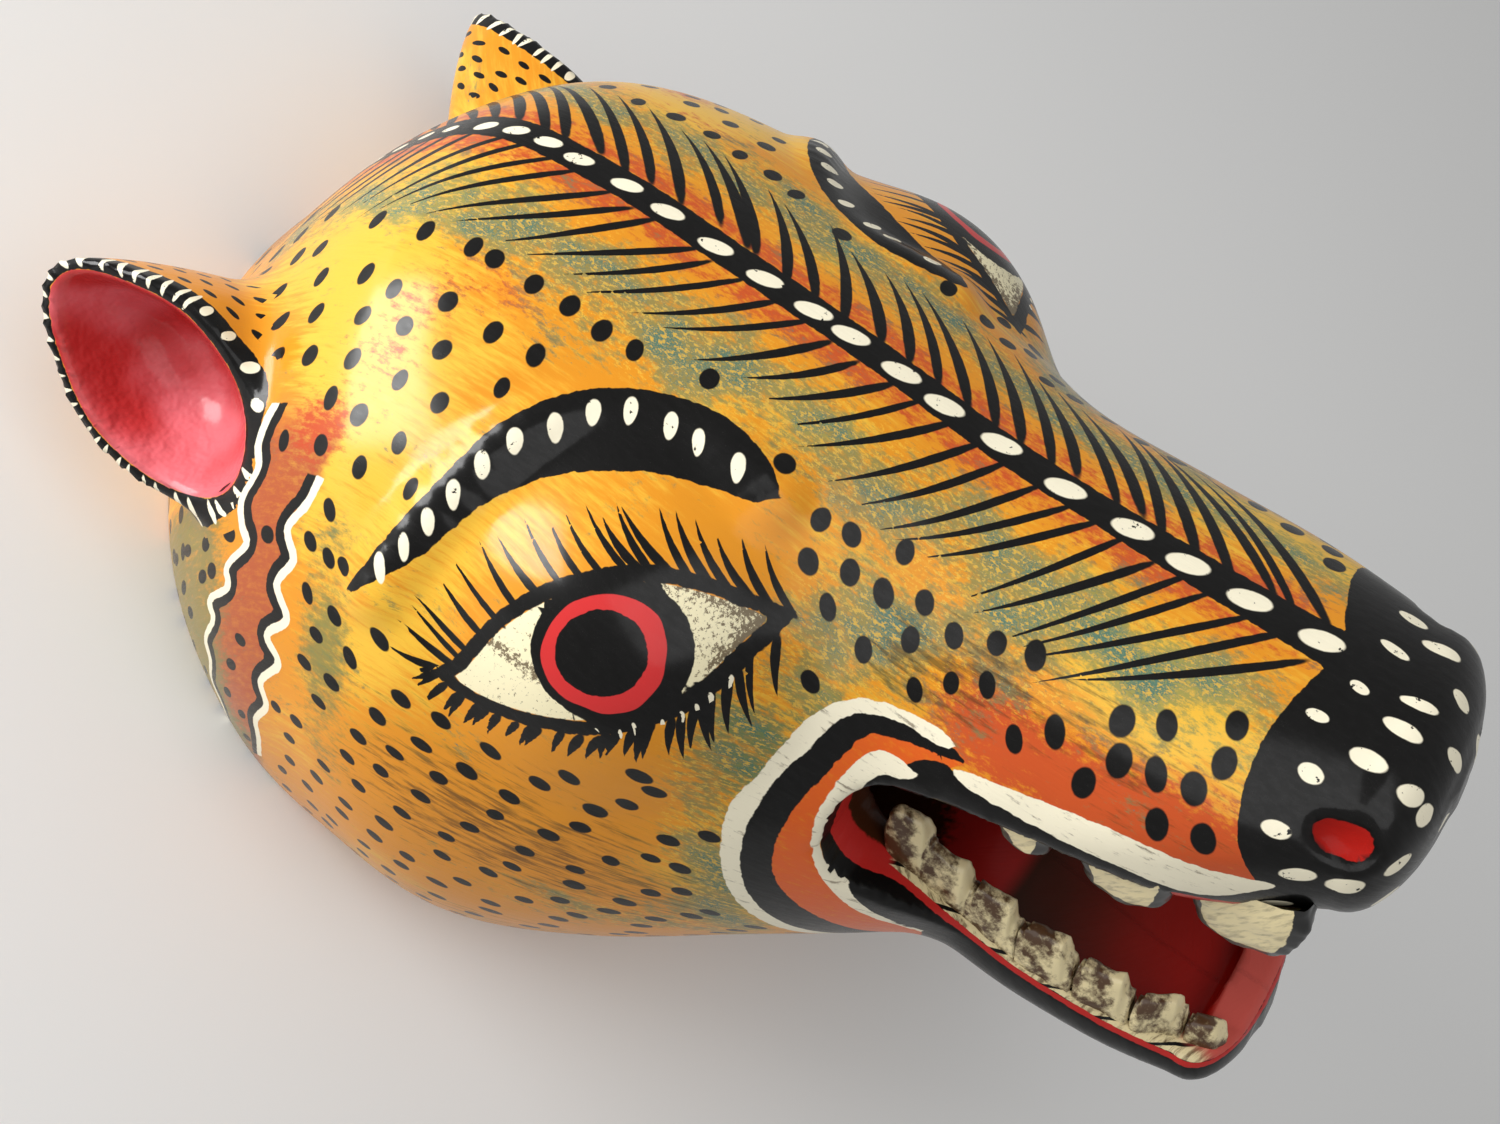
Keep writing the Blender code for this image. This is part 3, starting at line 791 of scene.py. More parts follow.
def touch(place, allowed, centre, way, half_length, half_width, bend=0.0, taper=0.0, light=False):
    """Lays one brush mark on the faces near it: where each corner lies along and across the mark."""
    way = np.array(way, float) / np.linalg.norm(way)
    reach = half_length + abs(bend) + 5
    middle = place[corner_points[:, 0]]
    near = np.where((np.abs(middle - centre) < reach).all(axis=1) & allowed)[0]
    if not len(near):
        return
    corners = place[corner_points[near]] - centre
    along = (corners @ way) / half_length
    across = corners @ (way[1], -way[0]) - bend * (1 - along**2)
    narrow = np.clip(1 - taper * (along + 1) / 2, 0.1, 1)
    across = across / (half_width * narrow)
    mark = np.stack([along, across, np.full_like(along, 1 / half_width)], axis=2)
    size = (along**2 + across**2).mean(axis=1)
    size = np.maximum(size, 0) + (np.abs(along).mean(axis=1) > 1 + 3 / half_length) * 50
    for name in ["light"] if light else ["dark", "dark_too"]:
        wins = size < nearness[name][near]
        if name == "dark":
            bumped = near[wins]
            touches["dark_too"][bumped] = touches["dark"][bumped]
            nearness["dark_too"][bumped] = nearness["dark"][bumped]
        chosen = near[wins]
        touches[name][chosen] = mark[wins]
        nearness[name][chosen] = size[wins]
        near, mark, size = near[~wins], mark[~wins], size[~wins]


face_side = side[corner_points].sum(axis=1)
on_side = {-1: face_side <= 0, 1: face_side >= 0}
skin_face = (on_head & (ear_profile > 8) & (np.abs(uncut) < 2.5))[corner_points].all(axis=1)
signed_skin = together(flat[:, 0], flat[:, 1] * side)
jitter = chance.normal


def on_both(marks, **choices):
    """Lays marks given for the right side of the head on both sides, each a little different."""
    for hand in (-1, 1):
        for centre, way, length, width in marks:
            shift = jitter(0, 0.35, 2) if hand < 0 else jitter(0, 0.8, 2) - (0, choices.get("rise", 0))
            turned = np.array(way) + jitter(0, 0.04, 2) * np.linalg.norm(way)
            touch(
                signed_skin,
                on_side[hand] & skin_face,
                np.array([centre[0], centre[1] * hand]) + shift,
                [turned[0], turned[1] * hand],
                length * (1 + jitter(0, 0.06)),
                width * (1 + jitter(0, 0.08)) * (choices.get("broad", 1) if hand > 0 else 1),
                bend=choices.get("bend", 0) * hand,
                taper=choices.get("taper", 0),
                light=choices.get("light", False),
            )


comb = []
for z in np.arange(COMB_REAR, COMB_FRONT, COMB_STEP):
    z += jitter(0, 0.7)
    base = np.array([z, SPINE_HALF_WIDTH - 1.5])
    tip = np.array([z + np.interp(z, COMB_STATION, COMB_SWEEP), np.interp(z, COMB_STATION, COMB_LENGTH)])
    tip += jitter(0, 1.2, 2)
    comb.append(((base + tip) / 2, tip - base, np.linalg.norm(tip - base) / 2 + 1, COMB_HALF_WIDTH))
on_both(comb, bend=2.0, taper=0.8, broad=1.5)


def looking(lean):
    """A way on the skin given by its lean in the eye's own view: 0 points forwards and 90 down."""
    lean = math.radians(lean)
    return np.array(EYE_RIGHT) * math.cos(lean) + np.array(EYE_DOWN) * math.sin(lean)


def fringe(lid_line, shares, leans, lengths, width):
    """Lashes along a lid line: each one's middle, way, half length and half width."""
    line = smooth_line(lid_line)
    lashes = []
    for share in shares:
        root = line[int(share * (len(line) - 1))]
        way = looking(np.interp(share, LASH_SHARE, leans) + jitter(0, 2.5))
        length = np.interp(share, LASH_SHARE, lengths) * (1 + jitter(0, 0.05))
        lashes.append((root + way * (length / 2 - 1), way, length / 2, width))
    return lashes


upper_leans = np.array(LASH_LEAN) + 180
upper_shares = np.linspace(0.03, 0.98, UPPER_LASHES)
upper_lashes = fringe(UPPER_LID, upper_shares, upper_leans, LASH_LENGTH, UPPER_LASH_HALF_WIDTH)
on_both(upper_lashes, bend=1.1, taper=0.75, rise=FAR_EYE_RISE)
lower_leans = 90 - np.array(LOWER_LEAN)
lower_shares = np.linspace(0.02, 1, LOWER_LASHES)
lower_lashes = fringe(LOWER_LID, lower_shares, lower_leans, LOWER_LENGTH, LOWER_LASH_HALF_WIDTH)
on_both(lower_lashes, bend=-0.3, taper=0.7, rise=FAR_EYE_RISE)
rear_corner = [(80.5, 136) + looking(lean) * 2.5 for lean in CORNER_LASHES]
rear_lashes = [(place, looking(lean), 5.0, 1.2) for place, lean in zip(rear_corner, CORNER_LASHES)]
on_both(rear_lashes, taper=0.8, rise=FAR_EYE_RISE)
lid_curve = smooth_line(LOWER_LID)
# Painted highlight: short white glints on the lower lid line.
lid_places = [lid_curve[int(share * (len(lid_curve) - 1))] for share in LID_GLINT_SHARES]
lid_glints = [(place + looking(100) * 0.4, looking(100), 1.7, 0.7) for place in lid_places]
on_both(lid_glints, taper=0.9, light=True, rise=FAR_EYE_RISE)

taken = [*SPOTS_ON_CROWN, *SPOTS_BEFORE_EYE, *SPOTS_ON_SNOUT]
brow_outline = np.concatenate([smooth_line(BROW_TOP), smooth_line(BROW_FOOT)])
lash_tips = smooth_line(UPPER_LID) + looking(235) * 13
lash_outline = np.concatenate([lash_tips, smooth_line(LOWER_LID) + looking(95) * 8])
under_brow = np.concatenate([smooth_line(BROW_FOOT), smooth_line(UPPER_LID)])
band_outline = np.concatenate([smooth_line(OUTER_BAND_BACK), [(230, 212), (230, 70), (194, 70)]])
spots = []
for row, s in enumerate(SPOT_ROWS):
    step = UPPER_SPOT_STEP if s < ROW_CHANGE else LOWER_SPOT_STEP
    for z in np.arange(-78 + step / 2 * (row % 2), 262, step):
        spots.append((z + jitter(0, 1.5), s + jitter(0, 1.1)))
spots = np.array(spots)
sweep = np.interp(spots[:, 0], COMB_STATION, COMB_LENGTH)
free = (spots[:, 1] > sweep + 5) | (spots[:, 0] < -50)
free &= inside(spots, brow_outline) < -3.0
free &= inside(spots, lash_outline) < -3.5
free &= inside(spots, under_brow) < -1.0
free &= inside(spots, lid) < -4
free &= inside(spots, band_outline) < -3.0
free &= np.abs(from_line(spots, smooth_line(REAR_LINE)) - 1.5) > 5.6
free &= np.abs(from_line(spots, smooth_line(FRONT_LINE)) + 1.5) > 5.6
free &= (spots[:, 0] < 196) | (spots[:, 1] < 70)
free &= spots[:, 0] < 215
spots = [s for s in spots[free] if min(np.hypot(*(s - t)) for t in np.array(taken)) > SPOT_GAP]
marks = []
for z, s in [*taken, *spots]:
    size = np.interp(s, (40, 130, 180), (0.96, 0.88, 0.78)) * np.interp(z, (190, 225), (1, 1.3))
    lean = np.interp(z, (60, 110), (np.interp(s, SPOT_LEAN_S, SPOT_LEAN), np.interp(s, (90, 130), (100, -6))))
    marks.append(((z, s), looking(lean + jitter(0, 8)), SPOT_HALF_LENGTH * size, SPOT_HALF_WIDTH * size))
on_both(marks)

drops = []
for z in SPINE_DROPS:
    half_length = np.interp(z, (20, 100, 250), (3.4, 4.6, 5.6))
    drops.append(((z, 0.0), (1, 0.42), half_length, np.interp(z, (20, 250), (2.0, 3.1))))
drops += [((z, 0.0), (1, 0.1), 2.8, 1.6) for z in np.arange(12, -66, -10.0)]
for centre, way, length, width in drops:
    place = np.array(centre) + jitter(0, 0.4, 2)
    touch(signed_skin, skin_face, place, way, length, width, taper=-0.35, light=True)
on_both([(c, EYE_DOWN, 3.2, 2.0) for c in BROW_DROPS], taper=0.3, light=True)

from_tip = skin - NOSE_CENTRE
turn = np.arccos(from_tip[:, 2] / np.linalg.norm(from_tip, axis=1))
nose_place = from_tip[:, :2] / np.linalg.norm(from_tip[:, :2], axis=1)[:, None] * (turn * NOSE_REACH)[:, None]
nose_face = skin_face & (station[corner_points].min(axis=1) > 255)
for drop in NOSE_DROPS:
    off = np.array(drop) - NOSE_CENTRE
    turn = math.acos(off[2] / np.linalg.norm(off))
    centre = off[:2] / np.linalg.norm(off[:2]) * turn * NOSE_REACH
    way = centre + jitter(0, 5, 2)
    half_length = 3.3 + jitter(0, 0.3)
    half_width = 2.3 + jitter(0, 0.2)
    touch(nose_place, nose_face, centre, way, half_length, half_width, taper=-0.5, light=True)

ear_place = together(ear_turn * EAR_REACH, ear_profile)
ear_face = (np.abs(ear_profile[corner_points]) < 12).all(axis=1)
for hand in (-1, 1):
    for turn in np.arange(-math.pi, math.pi, RIM_TICK_STEP):
        front = 1.45 < turn < 2.5
        if 2.5 <= turn < 2.75 or front and round(turn / RIM_TICK_STEP) % 2:
            continue
        centre = np.array([turn * EAR_REACH + jitter(0, 0.4), 2.2 if front else 1.4])
        size = (2.5, 1.5) if front else (4.2, 0.85)
        touch(ear_place, ear_face & on_side[hand], centre, (jitter(0, 0.12), 1), *size, light=True)

ear_back = ((uncut > 2.5) & (ear_profile > 6.5) & (ear_profile < 28))[corner_points].all(axis=1)
for hand in (-1, 1):
    for row, behind in enumerate(EAR_DASH_ROWS):
        for turn in np.arange(-math.pi, math.pi, DASH_STEP) + row * 0.14:
            place = np.array([turn * EAR_REACH, behind]) + jitter(0, 0.7, 2)
            touch(ear_place, ear_back & on_side[hand], place, (1, jitter(0, 0.2)), 2.4, 0.95)

for name, marks in touches.items():
    attribute(head, name, marks, "CORNER")


# Paint and lacquer.
# The ground is dabbed on wet in wet, then the bands and the marks are laid over it with edges that
# waver a little. A clear lacquer covers it all, thinner in the mouth and where the paint is worn.

BRUSH_EDGE = 0.12


def rgb(red, green, blue):
    """A colour given as 0 to 255 display values, in the linear values that shaders take."""
    shares = (red / 255, green / 255, blue / 255)
    linear = [v / 12.92 if v <= 0.04045 else ((v + 0.055) / 1.055) ** 2.4 for v in shares]
    return (*linear, 1)


class Paint:
    """A socket of a material's shader, which sums, products and mixes can be written with."""

    def __init__(self, tree, socket):
        self.tree = tree
        self.socket = socket

    def node(self, kind, settings=None, inputs=None, output=0):
        """Adds a node: its settings are set first, then the values or links of its sockets."""
        made = self.tree.nodes.new(kind)
        for name, value in (settings or {}).items():
            setattr(made, name, value)
        for name, value in (inputs or {}).items():
            if isinstance(value, Paint):
                self.tree.links.new(value.socket, made.inputs[name])
            else:
                made.inputs[name].default_value = value
        return Paint(self.tree, made.outputs[output])

    def maths(self, operation, *values):
        return self.node("ShaderNodeMath", {"operation": operation}, dict(enumerate(values)))

    def __add__(self, other):
        return self.maths("ADD", self, other)

    def __sub__(self, other):
        return self.maths("SUBTRACT", self, other)

    def __rsub__(self, other):
        return self.maths("SUBTRACT", other, self)

    def __mul__(self, other):
        return self.maths("MULTIPLY", self, other)

    def __truediv__(self, other):
        return self.maths("DIVIDE", self, other)

    def __pow__(self, other):
        return self.maths("POWER", self, other)

    def __abs__(self):
        return self.maths("ABSOLUTE", self)

    __radd__ = __add__
    __rmul__ = __mul__

    def step(self, low, high):
        """A smooth step from 0 at the low value to 1 at the high one."""
        values = {"Value": self, "From Min": low, "From Max": high}
        return self.node("ShaderNodeMapRange", {"interpolation_type": "SMOOTHSTEP"}, values)

    def filled(self):
        """1 where this distance is above 0, with the edge that a brush leaves."""
        return self.step(-BRUSH_EDGE, BRUSH_EDGE)

    def under(self, colour, mask):
        """This colour with another brushed over it where the mask is 1."""
        return self.mixed(self, colour, mask)

    def mixed(self, one, other, mask):
        """A new colour, from the first where the mask is 0 to the second where it is 1."""
        settings = {"data_type": "RGBA", "clamp_factor": True}
        return self.node("ShaderNodeMix", settings, {0: mask, 6: one, 7: other}, output=2)

    def layer(self, name):
        """The three numbers of an attribute of the mesh."""
        vector = self.node("ShaderNodeAttribute", {"attribute_name": name}, output=1)
        return [self.node("ShaderNodeSeparateXYZ", {}, {0: vector}, output=i) for i in range(3)]

    def stretched(self, vector, x, y, z):
        return self.node("ShaderNodeVectorMath", {"operation": "MULTIPLY"}, {0: vector, 1: (x, y, z)})

    def noise(self, vector, scale, detail=3.0, roughness=0.55):
        values = {"Vector": vector, "Scale": scale, "Detail": detail, "Roughness": roughness}
        return self.node("ShaderNodeTexNoise", {}, values)


def new_material(name):
    """A fresh material, the shader that it ends in and a brush to add nodes with."""
    material = bpy.data.materials.new(name)
    material.use_nodes = True
    tree = material.node_tree
    return material, tree.nodes["Principled BSDF"], Paint(tree, None)


def feed(shader, **sockets):
    for name, value in sockets.items():
        socket = shader.inputs[name.replace("_", " ").title()]
        if isinstance(value, Paint):
            value.tree.links.new(value.socket, socket)
        else:
            socket.default_value = value


YELLOW = rgb(216, 140, 30)
BRIGHT_YELLOW = rgb(226, 176, 56)
FIRE = rgb(188, 68, 34)
RUST = rgb(168, 82, 44)
TEAL = rgb(44, 108, 104)
SEA_GREEN = rgb(92, 122, 80)
OLIVE = rgb(116, 116, 66)
# Brown for antiquing and wear, and also for painted shade.
ANTIQUE_BROWN_AND_SHADE = rgb(74, 50, 20)
ORANGE = rgb(214, 92, 26)
LAMP_BLACK = rgb(9, 8, 7)
BONE = rgb(238, 230, 204)
EYE_WHITE = rgb(232, 222, 184)
RED = rgb(186, 40, 36)
IRIS_RED = rgb(200, 48, 48)
MOUTH_RED = rgb(158, 22, 14)
# Painted shade for the depths of the mouth.
DEEP_MOUTH_SHADE = rgb(58, 28, 10)
OLD_BONE = rgb(230, 214, 166)
TOOTH_BROWN = rgb(78, 50, 22)
LIP_PINK = rgb(196, 84, 74)
CUP_RED = rgb(186, 48, 48)
CUP_PINK = rgb(222, 110, 118)

SLIT_STEP = 14.0
CORNER_RED_DEPTH = 16.5
CORNER_BLACK_DEPTH = 7.5
ZIGZAG_SPANS = ((92.5, 191), (108.5, 201))
ZIGZAG_SHADOW = 2.7
ZIGZAG_HALF_WIDTH = 1.25
ZIGZAG_SHADOW_HALF_WIDTH = 1.6
RED_RIM_WIDTH = 2.6

material, shader, brush = new_material("painted wood")
black, white, red = brush.layer("brush")
sclera, from_pupil, orange = brush.layer("eye")
rear_line, front_line, ear_profile = brush.layer("lines")
teal, fire, brown_and_shade = brush.layer("ground")
olive, rust, mouth = brush.layer("patches")
station, down, mouth_wall = brush.layer("flat")
jaw_profile, painted_highlight, sideways = brush.layer("jaw")
eye_x, eye_y, _ = brush.layer("in_eye")
flat_place = brush.node("ShaderNodeAttribute", {"attribute_name": "flat"}, output=1)
place = brush.node("ShaderNodeTexCoord", output=3)
streaks = brush.noise(brush.stretched(flat_place, 0.14, 1.0, 0), 0.6, 5.0, 0.65)
flecks = brush.noise(brush.stretched(flat_place, 0.5, 1.0, 0), 0.55, 4.0, 0.7)
clouds = brush.noise(brush.stretched(flat_place, 0.7, 1.0, 0), 0.07, 2.0)
drift = brush.noise(place, 22.0, 2.0)
wobble = (brush.noise(place, 350.0, 2.0) - 0.5) * 1.1

# Random tone of the ground, with the painted highlight lightening it.
tone_and_highlight = drift * 0.5 + streaks * 0.5 + (painted_highlight - 0.45) * 0.25
colour = brush.mixed(YELLOW, BRIGHT_YELLOW, tone_and_highlight.step(0.4, 0.58))
colour = colour.under(RUST, rust * (flecks.step(0.2, 0.6) * 0.4 + 0.6))
colour = colour.under(OLIVE, (olive + (flecks - 0.5) * 1.6 + (clouds - 0.5)).step(0.3, 0.9) * 0.85)
colour = colour.under(FIRE, (fire + (flecks - 0.5) * 2.0 + (clouds - 0.5)).step(0.3, 0.85) * 0.9)
patchy = teal + (clouds - 0.5) * 1.8
mottle = brush.noise(brush.stretched(flat_place, 0.6, 1.0, 0), 0.9, 4.0, 0.75)
colour = colour.under(SEA_GREEN, (patchy + (flecks - 0.5) * 2.4).step(0.25, 0.85) * 0.7)
colour = colour.under(TEAL, (patchy + (mottle - 0.5) * 3.4).step(0.7, 1.0) * 0.8)
colour = colour.under(BRIGHT_YELLOW, (mottle + teal * 0.06).step(0.56, 0.62) * teal.step(0.1, 0.5) * 0.75)
# Brown antiquing over the ground, and painted shade on the lower cheeks and the underside.
colour = colour.under(ANTIQUE_BROWN_AND_SHADE, (brown_and_shade * 0.6 + (streaks - 0.5) * 2.4).step(0.45, 1.0) * 0.75)
orange_colour = brush.mixed(ORANGE, YELLOW, flecks.step(0.5, 0.75) * 0.5)
colour = colour.under(orange_colour, (orange + 0.8 + wobble).filled())
specks = brush.noise(place, 800.0, 4.0, 0.75)
# Painted shade: brown speckles gather along a fold line across the rear of the eye white; the other speckles
# are wear.
fold_shade = (3.4 - abs(eye_y * 0.85 - eye_x * 0.53 - 14.4)).step(0, 3.4) * (0 - eye_x).step(10, 14)
front_wear = (eye_x + specks * 6).step(20, 40) * 0.55
front_wear = front_wear + (4.2 - sclera).step(0, 4.2) * (eye_x - eye_y).step(14, 26) * 0.7
eye_wear_and_shade = (specks * 1.8 + fold_shade * 0.3 + front_wear * 0.36).step(1.06, 1.2)
eye_colour = brush.mixed(EYE_WHITE, ANTIQUE_BROWN_AND_SHADE, eye_wear_and_shade * 0.85)
colour = colour.under(eye_colour, (sclera + wobble * 0.5).filled())
colour = colour.under(LAMP_BLACK, (black + wobble).filled())
colour = colour.under(RED, (red + wobble).filled())
across_cheek = abs(down)
zigzags = ((rear_line, ZIGZAG_SHADOW), (front_line, -ZIGZAG_SHADOW))
for (line, shadow), (first, last) in zip(zigzags, ZIGZAG_SPANS):
    drawn = (across_cheek + wobble).step(first, first + 0.5) * (across_cheek + wobble).step(last, last - 0.5)
    shadow_depth = ZIGZAG_SHADOW_HALF_WIDTH - abs(line - shadow) + wobble
    line_depth = ZIGZAG_HALF_WIDTH - abs(line) + wobble * 0.7
    colour = colour.under(LAMP_BLACK, drawn * shadow_depth.filled())
    colour = colour.under(BONE, drawn * line_depth.filled())
in_eye = sclera.step(-0.3, 0.0)
uneven = (brush.noise(place, 70.0, 1.0) - 0.5) * 4
colour = colour.under(IRIS_RED, in_eye * (IRIS_RADIUS - from_pupil + uneven).filled())
colour = colour.under(LAMP_BLACK, in_eye * (PUPIL_RADIUS - from_pupil + wobble).filled())
bone = brush.mixed(BONE, ANTIQUE_BROWN_AND_SHADE, (streaks * 0.5 + flecks * 0.5).step(0.54, 0.66) * 0.7)
colour = colour.under(bone, (white + wobble).filled())
mark_masks = []
for name in ("dark", "dark_too", "light"):
    along, across, fineness = brush.layer(name)
    mark_masks.append((along * along + across * across + wobble * fineness * 0.6).step(1.15, 0.85))
colour = colour.under(LAMP_BLACK, mark_masks[0])
colour = colour.under(LAMP_BLACK, mark_masks[1])
chips = brush.noise(place, 380.0, 3.0, 0.7).step(0.68, 0.62)
colour = colour.under(BONE, mark_masks[2] * chips * (ear_profile + EAR_BAND_INNER + wobble).filled())
# Painted shade: the inside of the mouth goes from red at the front to dark brown deep inside.
mouth_colour = brush.mixed(DEEP_MOUTH_SHADE, MOUTH_RED, (station + drift * 30).step(205, 262))
corner_wall = station.step(196, 190)
corner_red = (CORNER_RED_DEPTH - mouth_wall + wobble * 2).step(-0.5, 0.5)
mouth_colour = mouth_colour.under(RED, corner_wall * corner_red)
black_depth = CORNER_BLACK_DEPTH - 5.0 * station.step(176, 200)
mouth_colour = mouth_colour.under(LAMP_BLACK, (black_depth - mouth_wall + wobble).filled())
colour = colour.under(mouth_colour, mouth)
ledge_colour = brush.mixed(OLD_BONE, TOOTH_BROWN, (flecks * 0.5 + streaks * 0.5).step(0.47, 0.6) * 0.85)
slit = brush.maths("FRACT", (station + jaw_profile * 1.5) / SLIT_STEP)
slit_mask = (0.07 - abs(slit - 0.5) + wobble * 0.05).step(-0.01, 0.01) * (9 + jaw_profile).step(0, 1)
ledge_colour = ledge_colour.under(LAMP_BLACK, slit_mask)
ledge_colour = ledge_colour.under(LIP_PINK, sideways.step(-34, -28) * station.step(214, 222))
ledge_colour = ledge_colour.under(LIP_PINK, station.step(256, 262))
on_ledge = (jaw_profile + 11).step(-0.5, 0.5) * (0.2 - jaw_profile + wobble).filled()
colour = colour.under(ledge_colour, on_ledge * station.step(175, 177))
rim_line = (jaw_profile + wobble).step(0.1, 0.3) * (RED_RIM_WIDTH - jaw_profile + wobble).filled()
colour = colour.under(RED, rim_line * station.step(178, 182))
cup_colour = brush.mixed(CUP_RED, CUP_PINK, drift.step(0.4, 0.6))
colour = colour.under(cup_colour, (0 - ear_profile).step(3.3, 3.6))
gouged = brush.noise(place, 90.0, 3.0, 0.6) * (0 - ear_profile).step(3, 6) * 2.5
tool_marks = brush.noise(place, 26.0, 2.0) * 0.9 + streaks * 0.12 + gouged
bump = brush.node("ShaderNodeBump", {}, {"Strength": 0.6, "Distance": 0.002, "Height": tool_marks})
lacquer = (0.5 - (flecks - 0.5) * 0.5) * (1 - mouth * 0.7)
sheen = 0.46 + (streaks - 0.5) * 0.3
feed(shader, base_color=colour, roughness=sheen, coat_weight=lacquer, normal=bump)
shader.inputs["Specular IOR Level"].default_value = 0.06
shader.inputs["Coat Roughness"].default_value = 0.16
head.data.materials.append(material)

# The hollow.
# The bare inside and the seat, left as the gouge cut them: pale wood, browned by handling.

PALE_WOOD = rgb(196, 150, 96)
DARK_GRAIN = rgb(132, 88, 48)
HANDLED = rgb(98, 66, 40)

material, shader, brush = new_material("bare wood")
place = brush.node("ShaderNodeTexCoord", output=3)
grain = brush.noise(brush.stretched(place, 1.0, 0.12, 1.0), 260.0, 4.0, 0.6)
smears = brush.noise(place, 18.0, 3.0)
gouge_cuts = brush.noise(brush.stretched(place, 1.0, 0.45, 1.0), 60.0, 1.0)
colour = brush.mixed(PALE_WOOD, DARK_GRAIN, grain.step(0.42, 0.68) * 0.7)
colour = colour.under(HANDLED, smears.step(0.5, 0.72) * 0.5)
bump = brush.node("ShaderNodeBump", {}, {"Strength": 0.7, "Distance": 0.003, "Height": gouge_cuts})
feed(shader, base_color=colour, roughness=0.62 + (smears - 0.5) * 0.3, normal=bump)
hollow.data.materials.append(material)

# The teeth.
# Blocky teeth left standing along the lip and the gum, cut with the gouge and never sanded smooth.
# They are one wood with the head. The upper ones are painted bone white with a black outline; the lower ones
# bone on their tops, with painted shade in the valleys and lower down.

UPPER_TEETH = ((212, 15, 14), (236, 24, 17), (264, 27, 18))
LOWER_TEETH = ((178, 13, 21), (189, 12, 16), (201, 13, 17), (215, 14, 16), (230, 14, 15), (244, 12, 13))
LOWER_TEETH += ((256, 10, 9),)
TOOTH_THICKNESS = 10
TOOTH_ROOT = 8
TOOTH_CROWDING = 1.08
TOOTH_TAPER = ((0, 1.0), (0.62, 0.8), (1.0, 0.34))
GUM_MARGIN = 1.5
LIP_MARGIN = 3.2
TOOTH_RINGS = 26
TOOTH_POINTS = 48
ROW_RINGS = 260
ROW_POINTS = 36
ROW_HALF_THICKNESS = 4.6
VALLEY = 0.58
GOUGE_SEED = 5

noise.seed_set(GOUGE_SEED)


def loft_quads(rings, points, first):
    """Quads between rings of points, each ring with that many points."""
    faces = []
    for i in range(rings - 1):
        near, far = first + i * points, first + (i + 1) * points
        for j in range(points):
            k = (j + 1) % points
            faces.append([near + j, near + k, far + k, far + j])
    return faces


def worn(points, seed, size, depth):
    """Points pushed about as a blunt gouge leaves them."""
    moved = []
    for point in points:
        place = Vector(point) / size + Vector((seed, 0, 0))
        push = noise.noise_vector(place) * depth + noise.noise_vector(place * 2.7) * depth * 0.4
        moved.append(Vector(point) + push)
    return np.array(moved)


def upper_tooth(side, z, length, height):
    """A wedge of a tooth under the lip: its points, and how far each lies from its outline."""
    root = curve_through(z, LIP_STATION, LIP_HEIGHT)
    x = np.interp(z, STATION, HALF_WIDTH) - TOOTH_THICKNESS / 2 - LIP_MARGIN
    turn = np.arange(TOOTH_POINTS) * 2 * math.pi / TOOTH_POINTS
    square = (np.abs(np.cos(turn)) ** 4 + np.abs(np.sin(turn)) ** 4) ** -0.25
    rings, edges = [], []
    for t in np.linspace(-TOOTH_ROOT / height, 1, TOOTH_RINGS):
        size = np.interp(t, *np.transpose(TOOTH_TAPER)) * TOOTH_CROWDING
        size *= math.sqrt(1 - max(0, (t - 0.85) / 0.152) ** 2)
        across = np.cos(turn) * square * TOOTH_THICKNESS / 2 * size
        along = np.sin(turn) * square * length / 2 * size
        outward = across + side * (x - 1.5 * abs(t))
        rings.append(together(outward, np.full_like(along, root - height * t), along + z))
        edges.append(np.minimum(length / 2 * size - np.abs(along), (1 - t) * height * 0.75))
    return np.concatenate(rings), np.concatenate(edges)


def lower_row(side):
    """The ragged wall of teeth along one side of the lower jaw, with how light each point is painted: a
    painted highlight near the top of each tooth, painted shade lower down and in the valleys.
    """
    first = LOWER_TEETH[0][0] - LOWER_TEETH[0][1] / 2
    last = LOWER_TEETH[-1][0] + LOWER_TEETH[-1][1] / 2
    turn = np.arange(ROW_POINTS) * 2 * math.pi / ROW_POINTS
    square = (np.abs(np.cos(turn)) ** 4 + np.abs(np.sin(turn)) ** 4) ** -0.25
    rings, edges = [], []
    for z in np.linspace(first, last, ROW_RINGS):
        height, ridge_highlight = 0, 0
        for middle, length, tall in LOWER_TEETH:
            t = (z - middle) / length + 0.5
            if 0 <= t <= 1:
                rise = min(1, t / 0.12) * (0.7 + 0.3 * t**1.5) * min(1, (1 - t) / 0.16)
                height = max(height, tall * max(VALLEY, rise))
                # Painted highlight near the peak of each tooth; the valleys are left dark as painted shade.
                ridge_highlight = math.exp(-(((t - 0.82) / 0.16) ** 2))
        end = math.sqrt(max(0.02, 1 - (abs(2 * (z - first) / (last - first) - 1)) ** 24))
        inward = np.interp(z, (240, 262), (0, 7.5))
        x = np.interp(z, JAW_STATION, JAW_HALF_WIDTH) - TOOTH_THICKNESS / 2 - GUM_MARGIN - inward
        root = curve_through(z, GUM_STATION, GUM_HEIGHT)
        tall = (height + TOOTH_ROOT) / 2
        up = np.sin(turn) * square * tall * end
        thin = 1 - 0.34 * np.clip(up / tall, 0, 1)
        across = np.cos(turn) * square * ROW_HALF_THICKNESS * thin * end
        rings.append(together(across + side * x, root - TOOTH_ROOT + tall + up, np.full_like(up, z)))
        edges.append(np.full_like(up, ridge_highlight) * np.clip((up + tall) / tall - 0.6, 0, 1))
    return np.concatenate(rings), np.concatenate(edges)


